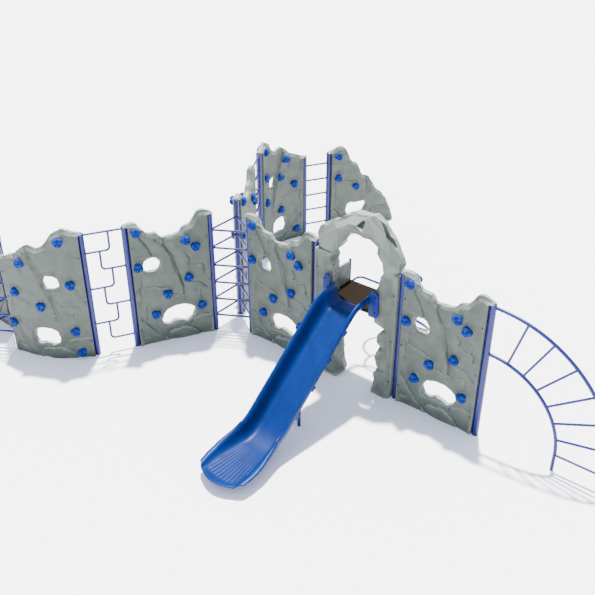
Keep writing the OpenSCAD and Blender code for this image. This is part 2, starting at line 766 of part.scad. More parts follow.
module flange_screw(x, z) {
    translate([x, -arch_depth / 2 - 2 * fit - flange_t, z]) rotate([90, 0, 0]) {
        cylinder(d = bolt_head_d, h = bolt_head_h);
        translate([0, 0, -flange_t - bolt_grip + 2]) cylinder(d = hold_bolt_d, h = flange_t + bolt_grip - 1.99);
    }
}

module slide_bolts() {
    color("dimgray") for (x = [left_flange_x, right_flange_x], z = flange_screws) flange_screw(x, z);
}

post(a_low, low_post_h, [0]);  // post_a_low
post(a_high, post_h, [180 + turn]);  // post_a_high
post(b_left, post_h, [turn]);  // post_b_left
post(b_right, post_h, [180 + turn]);  // post_b_right
post(c_left, post_h, [0]);  // post_c_left
post(arch_left, post_h, [0, 180]);  // post_arch_left
post(arch_right, post_h, [0, 180]);  // post_arch_right
post(g_right, post_h, [180]);  // post_g_right
post(d_near, post_h, [180 - turn]);  // post_d_near
post(d_far, post_h, [-turn]);  // post_d_far
post(e_high, post_h, [180 - turn]);  // post_e_high
post(e_low, low_post_h, [180 + turn]);  // post_e_low
post(f_post, low_post_h, [turn]);  // post_f
post(h_post, low_post_h, [180]);  // post_h
post(corner_post, low_post_h, []);  // post_corner
post_caps();
curved_panel(a_centre, 330 - turn / 2);  // panel_a
wave_panel(b_left, turn);  // panel_b
wave_panel(c_left, 0);  // panel_c
wave_panel(d_near, 180 - turn);  // panel_d
curved_panel(e_centre, 180);  // panel_e
cliff_panel(f_post, turn);  // panel_f
wave_panel(arch_right, 0);  // panel_g
cliff_panel(h_post, 180);  // panel_h
arch_left_pier();
arch_right_pier();
arch_crown();
seats_a() hold();  // holds_a
seats_b() hold();  // holds_b
seats_c() hold();  // holds_c
seats_d() hold();  // holds_d
seats_e() hold();  // holds_e
seats_f() hold();  // holds_f
seats_g() hold();  // holds_g
seats_h() hold();  // holds_h
hold_bolts();
panel_bolts();
zigzag_ladder_bars();
corner_ladder(c_left, b_right, d_near, 6);  // main_corner_rungs
corner_ladder(a_low, h_post, corner_post, 5);  // left_corner_rungs
ladder(d_far, e_high, first_rung, 7);  // rear_ladder_rungs
ladder(e_low, f_post, first_rung - 18, 5);  // short_ladder_rungs
fan_rail(fan_inner_r);  // arched_ladder_inner_rail
fan_rail(fan_outer_r);  // arched_ladder_outer_rail
arched_ladder_rungs();
deck_pan();
deck_frame();
barrier(deck_left);  // barrier_left
barrier(deck_right - barrier_t);  // barrier_right
barrier_posts();
climber_loops();
climber_legs();
slide_chute();
slide_flanges();
slide_leg();
slide_saddle();
slide_bolts();
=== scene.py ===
"""Looks of a playground climbing wall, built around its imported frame.

Every length is in metres and every piece lies where the frame's solids lie.
"""

import json
import logging
import math
from dataclasses import dataclass, field
from enum import Enum
from typing import Sequence

import bmesh
import bpy
import numpy as np
from mathutils import Matrix, Vector

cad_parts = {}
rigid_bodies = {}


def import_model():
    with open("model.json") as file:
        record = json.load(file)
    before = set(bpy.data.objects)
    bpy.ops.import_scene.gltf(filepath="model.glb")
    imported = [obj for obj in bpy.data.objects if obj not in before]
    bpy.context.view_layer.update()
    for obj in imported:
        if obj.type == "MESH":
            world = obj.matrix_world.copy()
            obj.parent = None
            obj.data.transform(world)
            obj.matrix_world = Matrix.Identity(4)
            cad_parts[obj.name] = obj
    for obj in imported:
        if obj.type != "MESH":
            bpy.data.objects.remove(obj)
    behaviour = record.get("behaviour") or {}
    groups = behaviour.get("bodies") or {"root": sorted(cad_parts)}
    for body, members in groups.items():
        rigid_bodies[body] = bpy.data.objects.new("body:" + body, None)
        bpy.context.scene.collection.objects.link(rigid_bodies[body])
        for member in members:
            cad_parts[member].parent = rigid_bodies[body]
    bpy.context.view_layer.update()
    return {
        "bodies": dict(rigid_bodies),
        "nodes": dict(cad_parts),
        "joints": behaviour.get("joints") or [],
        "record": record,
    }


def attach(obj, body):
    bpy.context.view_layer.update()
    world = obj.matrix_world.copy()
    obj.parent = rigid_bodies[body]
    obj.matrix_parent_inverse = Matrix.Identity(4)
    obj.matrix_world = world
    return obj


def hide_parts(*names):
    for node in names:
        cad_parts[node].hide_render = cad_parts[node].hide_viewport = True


LOG = logging.getLogger("climbing_wall")

MM = 0.001
Point2 = tuple[float, float]

POST_H = 2.110
LOW_POST_H = 1.650
POST_R = 0.0445
PITCH = 1.306
CORNER = 0.604
LADDER = 0.630
NARROW = 0.500
ARCH = 1.466
PANEL_HALF = 0.075
ARCH_HALF = 0.150
FIT = 0.0003
LUG_REACH = 0.0785
HIGH_BOLTS = (0.300, 1.000, 1.750)
LOW_BOLTS = (0.300, 1.000, 1.440)


# Small tools


def linear(code: str) -> tuple[float, float, float, float]:
    """Turns an sRGB hex value into a linear colour.

    Args:
        code: Six hex digits after a hash sign.

    Returns:
        Red, green, blue and an alpha of 1.
    """
    values = [int(code[i : i + 2], 16) / 255 for i in (1, 3, 5)]
    return (*[v / 12.92 if v <= 0.04045 else ((v + 0.055) / 1.055) ** 2.4 for v in values], 1.0)


def add_node(
    tree: bpy.types.NodeTree, kind: str, settings: dict | None = None, links: dict | None = None
) -> bpy.types.Node:
    """Adds one node with its settings and links.

    Args:
        tree: The node tree.
        kind: The node's type name without the ShaderNode prefix.
        settings: Attribute or input names with their values.
        links: Input names with the output socket that feeds each.

    Returns:
        The new node.
    """
    node = tree.nodes.new("ShaderNode" + kind)
    for name, value in (settings or {}).items():
        if hasattr(node, name) and name not in node.inputs:
            setattr(node, name, value)
        else:
            node.inputs[name].default_value = value
    for name, socket in (links or {}).items():
        tree.links.new(socket, node.inputs[name])
    return node


def place(x: float, y: float, heading: float) -> Matrix:
    """Gives the matrix of a local frame that stands at a point, turned to a heading in degrees."""
    return Matrix.Translation((x, y, 0)) @ Matrix.Rotation(math.radians(heading), 4, "Z")


def step_from(point: Point2, heading: float, length: float) -> Point2:
    """Walks from a point in plan along a heading in degrees."""
    a = math.radians(heading)
    return (point[0] + length * math.cos(a), point[1] + length * math.sin(a))


def finish_object(
    name: str, bm: bmesh.types.BMesh, material: bpy.types.Material, smooth: bool = True
) -> bpy.types.Object:
    """Turns a bmesh into a scene object that rides on the frame.

    Args:
        name: The piece's name.
        bm: The mesh, freed here.
        material: Its finish.
        smooth: Whether its faces are shaded smooth.

    Returns:
        The new object.
    """
    mesh = bpy.data.meshes.new(name)
    bm.to_mesh(mesh)
    bm.free()
    return link_mesh(name, mesh, material, smooth)


def link_mesh(
    name: str, mesh: bpy.types.Mesh, material: bpy.types.Material, smooth: bool = True
) -> bpy.types.Object:
    """Puts a mesh in the scene with one finish and lets it ride on the frame."""
    if material.name not in mesh.materials:
        mesh.materials.append(material)
    mesh.shade_smooth() if smooth else mesh.shade_flat()
    piece = bpy.data.objects.new(name, mesh)
    bpy.context.scene.collection.objects.link(piece)
    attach(piece, "root")
    return piece


def soften(piece: bpy.types.Object, width: float, segments: int = 2, angle: float = 35.0) -> None:
    """Rounds a piece's edges with a live bevel and keeps its flat faces flat."""
    bevel = piece.modifiers.new("edges", "BEVEL")
    bevel.width = width
    bevel.segments = segments
    bevel.limit_method = "ANGLE"
    bevel.angle_limit = math.radians(angle)
    bevel.harden_normals = False


# Noise for moulded rock


def facet_noise(points: np.ndarray, cell: float, seed: int, bend: float = 0.35) -> np.ndarray:
    """Random heights joined by flat facets, for rock that looks split rather than rounded.

    Args:
        points: An array of N by 3 positions.
        cell: The size of one facet.
        seed: Chooses the pattern.
        bend: How far the facet lattice is bent out of square.

    Returns:
        N values from 0 to 1.
    """
    table = np.random.default_rng(seed).random((31, 31, 31))
    p = points / cell + np.array([0.31, 0.57, 0.83]) * seed
    p = p + bend * np.sin(p[:, [1, 2, 0]] * 1.3 + seed) + 0.2 * np.sin(p[:, [2, 0, 1]] * 2.9)
    base = np.floor(p).astype(int)
    part = p - base
    order = np.argsort(-part, axis=1)
    rows = np.arange(len(p))
    corner = base.copy()
    value = table[tuple((corner % 31).T)] * (1 - part[rows, order[:, 0]])
    for k in range(3):
        corner[rows, order[:, k]] += 1
        high = part[rows, order[:, k]]
        low = part[rows, order[:, k + 1]] if k < 2 else 0.0
        value += table[tuple((corner % 31).T)] * (high - low)
    return value


def ramp(x: np.ndarray, low: float, high: float) -> np.ndarray:
    """A smooth rise from 0 at low to 1 at high."""
    t = np.clip((x - low) / (high - low), 0, 1)
    return t * t * (3 - 2 * t)


def signed_distance(x: np.ndarray, y: np.ndarray, line: Sequence[Point2]) -> np.ndarray:
    """Distance of each point in a plane from an open line of points, positive on the line's left.

    Args:
        x: First coordinates.
        y: Second coordinates.
        line: The line's points.

    Returns:
        The signed distances.
    """
    best = np.full(len(x), 1e9)
    sign = np.ones(len(x))
    for (ax, ay), (bx, by) in zip(line, line[1:]):
        vx, vy = bx - ax, by - ay
        t = np.clip(((x - ax) * vx + (y - ay) * vy) / max(vx * vx + vy * vy, 1e-12), 0, 1)
        away = np.hypot(x - ax - t * vx, y - ay - t * vy)
        closer = away < best
        best = np.where(closer, away, best)
        sign = np.where(closer, np.sign(vx * (y - ay) - vy * (x - ax)), sign)
    return best * sign


def line_distance(x: np.ndarray, y: np.ndarray, line: Sequence[Point2]) -> np.ndarray:
    """Plain distance of each point in a plane from an open line of points."""
    return np.abs(signed_distance(x, y, line))


# Finishes


@dataclass(frozen=True)
class MouldedRock:
    """Rotationally moulded polyethylene: matt and mottled, with painted highlight on upward faces
    and ridges and painted shade in creases.
    """

    name: str = "polyethylene_moulded_rock"
    mid: str = "#4B534B"
    # Painted highlight colour, laid on upward faces and ridges.
    light: str = "#80887E"
    dark: str = "#424942"
    # Painted shade colour, laid into creases.
    crease: str = "#232825"
    mottle: float = 160 * MM
    grain: float = 9 * MM

    def build(self) -> bpy.types.Material:
        """Makes the material."""
        material, tree, shader = new_material(self.name)
        where = add_node(tree, "TexCoord").outputs["Object"]
        cloud = add_node(
            tree, "TexNoise", {"Scale": 1 / self.mottle, "Detail": 4.0, "Roughness": 0.6},
            {"Vector": where})
        tone = add_node(tree, "ValToRGB", {}, {"Fac": cloud.outputs["Fac"]})
        tone.color_ramp.elements[0].position = 0.35
        tone.color_ramp.elements[0].color = linear(self.dark)
        tone.color_ramp.elements[1].position = 0.62
        tone.color_ramp.elements[1].color = linear(self.mid)
        # Painted highlight: faces that point up are mixed towards the light colour, standing in for
        # light from above.
        normal = add_node(tree, "NewGeometry").outputs["Normal"]
        up = add_node(tree, "SeparateXYZ", {}, {"Vector": normal}).outputs["Z"]
        top_highlight_mask = add_node(
            tree, "MapRange", {"From Min": 0.2, "From Max": 0.85, "To Min": 0.0, "To Max": 0.85},
            {"Value": up})
        tint = add_node(tree, "Mix", {"data_type": "RGBA"})
        tree.links.new(top_highlight_mask.outputs["Result"], tint.inputs[0])
        tree.links.new(tone.outputs["Color"], tint.inputs[6])
        tint.inputs[7].default_value = linear(self.light)
        # Painted shade: creases, where Pointiness is low, are mixed towards the crease colour.
        point = add_node(tree, "NewGeometry").outputs["Pointiness"]
        cleft = add_node(
            tree, "MapRange", {"From Min": 0.486, "From Max": 0.43, "To Min": 0.0, "To Max": 0.6},
            {"Value": point})
        # Painted highlight: ridges, where Pointiness is high, are mixed towards the light colour.
        ridge = add_node(
            tree, "MapRange", {"From Min": 0.515, "From Max": 0.58, "To Min": 0.0, "To Max": 0.5},
            {"Value": point})
        crease_shade_mix = add_node(tree, "Mix", {"data_type": "RGBA"})
        tree.links.new(cleft.outputs["Result"], crease_shade_mix.inputs[0])
        tree.links.new(tint.outputs[2], crease_shade_mix.inputs[6])
        crease_shade_mix.inputs[7].default_value = linear(self.crease)
        lighter_tone = add_node(tree, "Mix", {"data_type": "RGBA"})
        tree.links.new(ridge.outputs["Result"], lighter_tone.inputs[0])
        tree.links.new(crease_shade_mix.outputs[2], lighter_tone.inputs[6])
        lighter_tone.inputs[7].default_value = linear(self.light)
        tree.links.new(lighter_tone.outputs[2], shader.inputs["Base Color"])
        shader.inputs["Specular IOR Level"].default_value = 0.3
        shader.inputs["Roughness"].default_value = 0.62
        shader.inputs["IOR"].default_value = 1.51
        rough = add_node(
            tree, "TexNoise", {"Scale": 1 / self.grain, "Detail": 5.0, "Roughness": 0.65},
            {"Vector": where})
        bump = add_node(
            tree, "Bump", {"Strength": 0.35, "Distance": 0.004}, {"Height": rough.outputs["Fac"]})
        tree.links.new(bump.outputs["Normal"], shader.inputs["Normal"])
        return material


@dataclass(frozen=True)
class PowderCoat:
    """Polyester powder coat on steel tube: even colour, semi-gloss, with a fine orange peel."""

    name: str
    colour: str
    lighter_tone: str
    roughness: float = 0.34
    peel: float = 3 * MM
    wear: float = 70 * MM

    def build(self) -> bpy.types.Material:
        """Makes the material."""
        material, tree, shader = new_material(self.name)
        where = add_node(tree, "TexCoord").outputs["Object"]
        cloud = add_node(
            tree, "TexNoise", {"Scale": 1 / self.wear, "Detail": 3.0}, {"Vector": where})
        tone = add_node(tree, "ValToRGB", {}, {"Fac": cloud.outputs["Fac"]})
        tone.color_ramp.elements[0].position = 0.4
        tone.color_ramp.elements[0].color = linear(self.colour)
        tone.color_ramp.elements[1].position = 0.75
        tone.color_ramp.elements[1].color = linear(self.lighter_tone)
        tree.links.new(tone.outputs["Color"], shader.inputs["Base Color"])
        shader.inputs["Roughness"].default_value = self.roughness
        shader.inputs["IOR"].default_value = 1.5
        shader.inputs["Specular IOR Level"].default_value = 0.35
        peel = add_node(
            tree, "TexNoise", {"Scale": 1 / self.peel, "Detail": 1.0}, {"Vector": where})
        bump = add_node(
            tree, "Bump", {"Strength": 0.12, "Distance": 0.0006}, {"Height": peel.outputs["Fac"]})
        tree.links.new(bump.outputs["Normal"], shader.inputs["Normal"])
        return material


@dataclass(frozen=True)
class MouldedPlastic:
    """Coloured plastic: glossy polyethylene for the slide, gritty resin for the holds."""

    name: str
    colour: str
    deep: str
    roughness: float
    grain: float
    relief: float
    swirl: float = 240 * MM

    def build(self) -> bpy.types.Material:
        """Makes the material."""
        material, tree, shader = new_material(self.name)
        where = add_node(tree, "TexCoord").outputs["Object"]
        cloud = add_node(
            tree, "TexNoise", {"Scale": 1 / self.swirl, "Detail": 3.0, "Distortion": 0.6},
            {"Vector": where})
        tone = add_node(tree, "ValToRGB", {}, {"Fac": cloud.outputs["Fac"]})
        tone.color_ramp.elements[0].position = 0.3
        tone.color_ramp.elements[0].color = linear(self.deep)
        tone.color_ramp.elements[1].position = 0.7
        tone.color_ramp.elements[1].color = linear(self.colour)
        tree.links.new(tone.outputs["Color"], shader.inputs["Base Color"])
        shader.inputs["Roughness"].default_value = self.roughness
        shader.inputs["IOR"].default_value = 1.51
        shader.inputs["Specular IOR Level"].default_value = 0.12
        grit = add_node(
            tree, "TexNoise", {"Scale": 1 / self.grain, "Detail": 3.0}, {"Vector": where})
        bump = add_node(
            tree, "Bump", {"Strength": 0.3, "Distance": self.relief},
            {"Height": grit.outputs["Fac"]})
        tree.links.new(bump.outputs["Normal"], shader.inputs["Normal"])
        return material


@dataclass(frozen=True)
class PunchedDeck:
    """Steel deck under a thick vinyl dip: punched holes, 26 mm apart, with rounded rims and painted
    shade in them.
    """

    name: str = "vinyl_dipped_punched_steel"
    colour: str = "#1A1207"
    hole_shade: str = "#030202"
    spacing: float = 26 * MM

    def build(self) -> bpy.types.Material:
        """Makes the material."""
        material, tree, shader = new_material(self.name)
        where = add_node(tree, "TexCoord").outputs["Object"]
        flat = add_node(
            tree, "Mapping", {"Scale": (1 / self.spacing, 1 / self.spacing, 0.0)}, {"Vector": where}
        )
        holes = add_node(
            tree, "TexVoronoi", {"Scale": 1.0, "Randomness": 0.0},
            {"Vector": flat.outputs["Vector"]})
        # Painted shade: the holes are coloured near-black, the shade seen through them, instead of
        # being cut open.
        rim = add_node(tree, "ValToRGB", {}, {"Fac": holes.outputs["Distance"]})
        rim.color_ramp.elements[0].position = 0.26
        rim.color_ramp.elements[0].color = linear(self.hole_shade)
        rim.color_ramp.elements[1].position = 0.32
        rim.color_ramp.elements[1].color = linear(self.colour)
        tree.links.new(rim.outputs["Color"], shader.inputs["Base Color"])
        shader.inputs["Roughness"].default_value = 0.8
        shader.inputs["IOR"].default_value = 1.53
        shader.inputs["Specular IOR Level"].default_value = 0.06
        bump = add_node(
            tree, "Bump", {"Strength": 0.6, "Distance": 0.003}, {"Height": rim.outputs["Color"]})
        tree.links.new(bump.outputs["Normal"], shader.inputs["Normal"])
        return material


@dataclass(frozen=True)
class Fastener:
    """Coated steel of a bolt: a dull metal with faint blotches."""

    name: str
    colour: str
    blotch: float = 8 * MM

    def build(self) -> bpy.types.Material:
        """Makes the material."""
        material, tree, shader = new_material(self.name)
        where = add_node(tree, "TexCoord").outputs["Object"]
        cloud = add_node(
            tree, "TexNoise", {"Scale": 1 / self.blotch, "Detail": 2.0}, {"Vector": where})
        gloss = add_node(
            tree, "MapRange", {"To Min": 0.3, "To Max": 0.5}, {"Value": cloud.outputs["Fac"]})
        tree.links.new(gloss.outputs["Result"], shader.inputs["Roughness"])
        shader.inputs["Base Color"].default_value = linear(self.colour)
        shader.inputs["Metallic"].default_value = 1.0
        return material


@dataclass(frozen=True)
class PaleGround:
    """A smooth pale studio floor."""

    name: str = "pale_matt_floor"
    colour: str = "#F7F7FA"

    def build(self) -> bpy.types.Material:
        """Makes the material."""
        material, _, shader = new_material(self.name)
        shader.inputs["Base Color"].default_value = linear(self.colour)
        shader.inputs["Roughness"].default_value = 0.95
        shader.inputs["Specular IOR Level"].default_value = 0.1
        return material


def new_material(name: str) -> tuple[bpy.types.Material, bpy.types.NodeTree, bpy.types.Node]:
    """Starts a material.

    Args:
        name: The material's name.

    Returns:
        The material, its node tree and its Principled shader.
    """
    material = bpy.data.materials.new(name)
    material.use_nodes = True
    return material, material.node_tree, material.node_tree.nodes["Principled BSDF"]


@dataclass
class Palette:
    """All finishes of the wall, made once."""

    rock: bpy.types.Material = field(default_factory=lambda: MouldedRock().build())
    tube: bpy.types.Material = field(
        default_factory=lambda: PowderCoat("powder_coated_blue_tube", "#080D56", "#0C1466").build())
    cap: bpy.types.Material = field(
        default_factory=lambda: PowderCoat(
            "powder_coated_blue_cap", "#0A105E", "#0F1770", 0.45).build())
    hold: bpy.types.Material = field(
        default_factory=lambda: MouldedPlastic(
            "polyester_resin_hold", "#012C86", "#012060", 0.6, 3 * MM, 0.0012, 60 * MM).build())
    chute: bpy.types.Material = field(
        default_factory=lambda: MouldedPlastic(
            "polyethylene_slide_blue", "#00215E", "#001C50", 0.4, 5 * MM, 0.0003).build())
    hood: bpy.types.Material = field(
        default_factory=lambda: MouldedPlastic(
            "polyethylene_hood_violet", "#0C0C7A", "#0A0A6C", 0.42, 5 * MM, 0.0003).build())
    deck: bpy.types.Material = field(default_factory=lambda: PunchedDeck().build())
    steel: bpy.types.Material = field(
        default_factory=lambda: Fastener("black_phosphated_steel", "#1C1E24").build())
    zinc: bpy.types.Material = field(
        default_factory=lambda: Fastener("hot_dip_galvanised_steel", "#3C3F42").build())
    floor: bpy.types.Material = field(default_factory=lambda: PaleGround().build())


# Plan of the wall

ARCH_LEFT: Point2 = (0.0, 0.0)
ARCH_RIGHT: Point2 = (ARCH, 0.0)
G_RIGHT: Point2 = (ARCH + PITCH, 0.0)
C_LEFT: Point2 = (-PITCH, 0.0)
B_RIGHT = step_from(C_LEFT, 210, CORNER)
D_NEAR = step_from(C_LEFT, 150, CORNER)
B_LEFT = step_from(B_RIGHT, 240, PITCH)
A_HIGH = step_from(B_LEFT, 240, LADDER)
A_LOW = step_from(A_HIGH, 210, PITCH)
H_POST = step_from(A_LOW, 150, CORNER)
CORNER_POST = step_from(A_LOW, 210, CORNER)
D_FAR = step_from(D_NEAR, 120, PITCH)
E_HIGH = step_from(D_FAR, 120, LADDER)
E_LOW = step_from(E_HIGH, 90, PITCH)
F_POST = step_from(E_LOW, 60, NARROW)
A_CENTRE = step_from(A_HIGH, 150, PITCH)
E_CENTRE = step_from(E_HIGH, 30, PITCH)
TALL_POSTS = (
    A_HIGH, B_LEFT, B_RIGHT, C_LEFT, ARCH_LEFT, ARCH_RIGHT, G_RIGHT, D_NEAR, D_FAR, E_HIGH)
SHORT_POSTS = (A_LOW, E_LOW, F_POST, H_POST, CORNER_POST)


class Shape(Enum):
    """The three moulds of a rock panel."""

    WAVE = "wave"
    CLIFF = "cliff"
    CURVED = "curved"


W = 1306
H = 2110
L = 1650
HALF = 653
OUTLINES: dict[Shape, list[tuple[float, float]]] = {
    Shape.WAVE: [
        (44.8, 0), (44.8, H), (-25, H), (-25, H + 25), (20, H + 38), (95, H + 50), (165, H + 30),
        (215, H - 50),
        (310, H - 155), (450, H - 172), (540, H - 270), (W - 626, H - 258), (W - 496, H - 228),
        (W - 436, H - 148),
        (W - 321, H - 112), (W - 256, H - 28), (W - 196, H + 62), (W - 106, H + 76),
        (W + 25, H + 30), (W + 25, H),
        (W - 44.8, H), (W - 44.8, 0)],
    Shape.CLIFF: [
        (44.8, 0), (44.8, L), (-25, L), (-25, L + 20), (60, L + 45), (190, L + 100), (300, L + 85),
        (360, L + 15),
        (490, L - 240), (610, L - 300), (710, L - 550), (880, L - 605), (1020, 770), (1150, 670),
        (1290, 490),
        (1350, 320), (1430, 120), (1460, 0)],
    Shape.CURVED: [
        (-613.7, 0), (-613.7, L), (-HALF - 21, L), (-HALF - 21, L + 20), (-600, L + 25),
        (-490, L + 80), (-360, H - 330),
        (-250, H - 230), (-115, H - 150), (25, H - 200), (115, H - 150), (HALF - 403, H + 30),
        (HALF - 333, H + 75),
        (HALF - 223, H + 125), (HALF - 123, H + 65), (HALF - 13, H + 25), (HALF + 21, H + 20),
        (HALF + 21, H),
        (613.7, H), (613.7, 0)],
}
WINDOWS: dict[Shape, list[list[tuple[float, float]]]] = {
    Shape.WAVE: [
        [(188, 1380), (205, 1310), (270, 1270), (400, 1265), (470, 1300), (500, 1385), (490, 1480),
         (430, 1550),
         (300, 1555), (220, 1510)],
        [(385, 400), (430, 500), (505, 600), (640, 645), (800, 655), (900, 620), (985, 560),
         (1010, 460), (965, 330),
         (860, 255), (750, 290), (640, 310), (550, 265), (440, 275)]],
    Shape.CLIFF: [
        [(345, 400), (380, 540), (450, 580), (600, 560), (760, 575), (850, 520), (870, 420),
         (800, 300), (650, 260),
         (480, 240), (390, 280)]],
    Shape.CURVED: [
        [
            (15, 1300), (50, 1235), (160, 1215), (265, 1240), (300, 1320), (285, 1440), (215, 1495),
            (90, 1490), (30, 1430)],
        [(-294, 300), (-260, 470), (-190, 560), (-60, 590), (80, 575), (180, 520), (204, 400),
         (165, 260), (60, 205),
         (-120, 230), (-240, 215)]],
}
WAVE_HOLDS = [
    (148, 2015), (132, 1426), (888, 1753), (1036, 1627), (895, 1109), (545, 882), (1076, 567),
    (331, 553)]
CLIFF_HOLDS = [(183, 1578), (185, 1133), (570, 902)]
OUTER_HOLDS = [
    (13.9, 2050), (40.8, 1675), (48.4, 1150), (10.7, 1330), (31.1, 963), (54.3, 566), (12, 512),
    (9.8, 125)]
INNER_HOLDS = [
    (8, 2080), (38.8, 1720), (8, 1580), (32.2, 1400), (48, 1178), (9.3, 1070), (32.4, 732),
    (50.7, 216)]
# Cracks of the wave mould: each a line with the depth of its groove in millimetres
WAVE_CRACKS: list[tuple[float, list[tuple[float, float]]]] = [
    (10, [(190, 1990), (207, 1891), (266, 1795), (319, 1698), (343, 1624), (356, 1568)]),
    (15, [(500, 1960), (513, 1876), (553, 1791), (561, 1703), (622, 1586), (680, 1521),
          (702, 1392), (746, 1239),
          (781, 1067), (813, 940), (811, 800)]),
    (7, [(432, 1831), (510, 1747), (581, 1664), (647, 1510), (682, 1342), (732, 1169)]),
    (9, [(807, 2035), (823, 1929)]),
    (8, [(909, 1475), (945, 1414), (924, 1347)]),
    (9, [(1026, 1290), (1117, 1298), (1162, 1243), (1150, 1173)]),
    (9, [(933, 1007), (1080, 975), (1189, 857)]),
    (7, [(988, 845), (1087, 833), (1081, 739)]),
    (10, [(247, 1036), (367, 1037), (491, 992)]),
    (8, [(60, 1045), (128, 1035), (140, 913), (129, 804), (50, 800)]),
    (6, [(110, 1590), (199, 1583), (336, 1575)]),
    (13, [(50, 420), (96, 472), (163, 417), (248, 281), (352, 147), (478, 57), (537, 0)]),
    (12, [(478, 66), (519, 155), (606, 193), (690, 192), (793, 211), (891, 163), (973, 103),
          (1044, 6)]),
    (9, [(880, 225), (937, 329), (1041, 363), (1230, 351)]),
    (7, [(56, 153), (217, 122)]),
    (8, [(640, 828), (785, 787)]),
    (6, [(206, 693), (189, 430)]),
    (6, [(175, 1269), (165, 1090)]),
    (6, [(60, 771), (62, 580), (94, 496)]),
]


# Rock panels


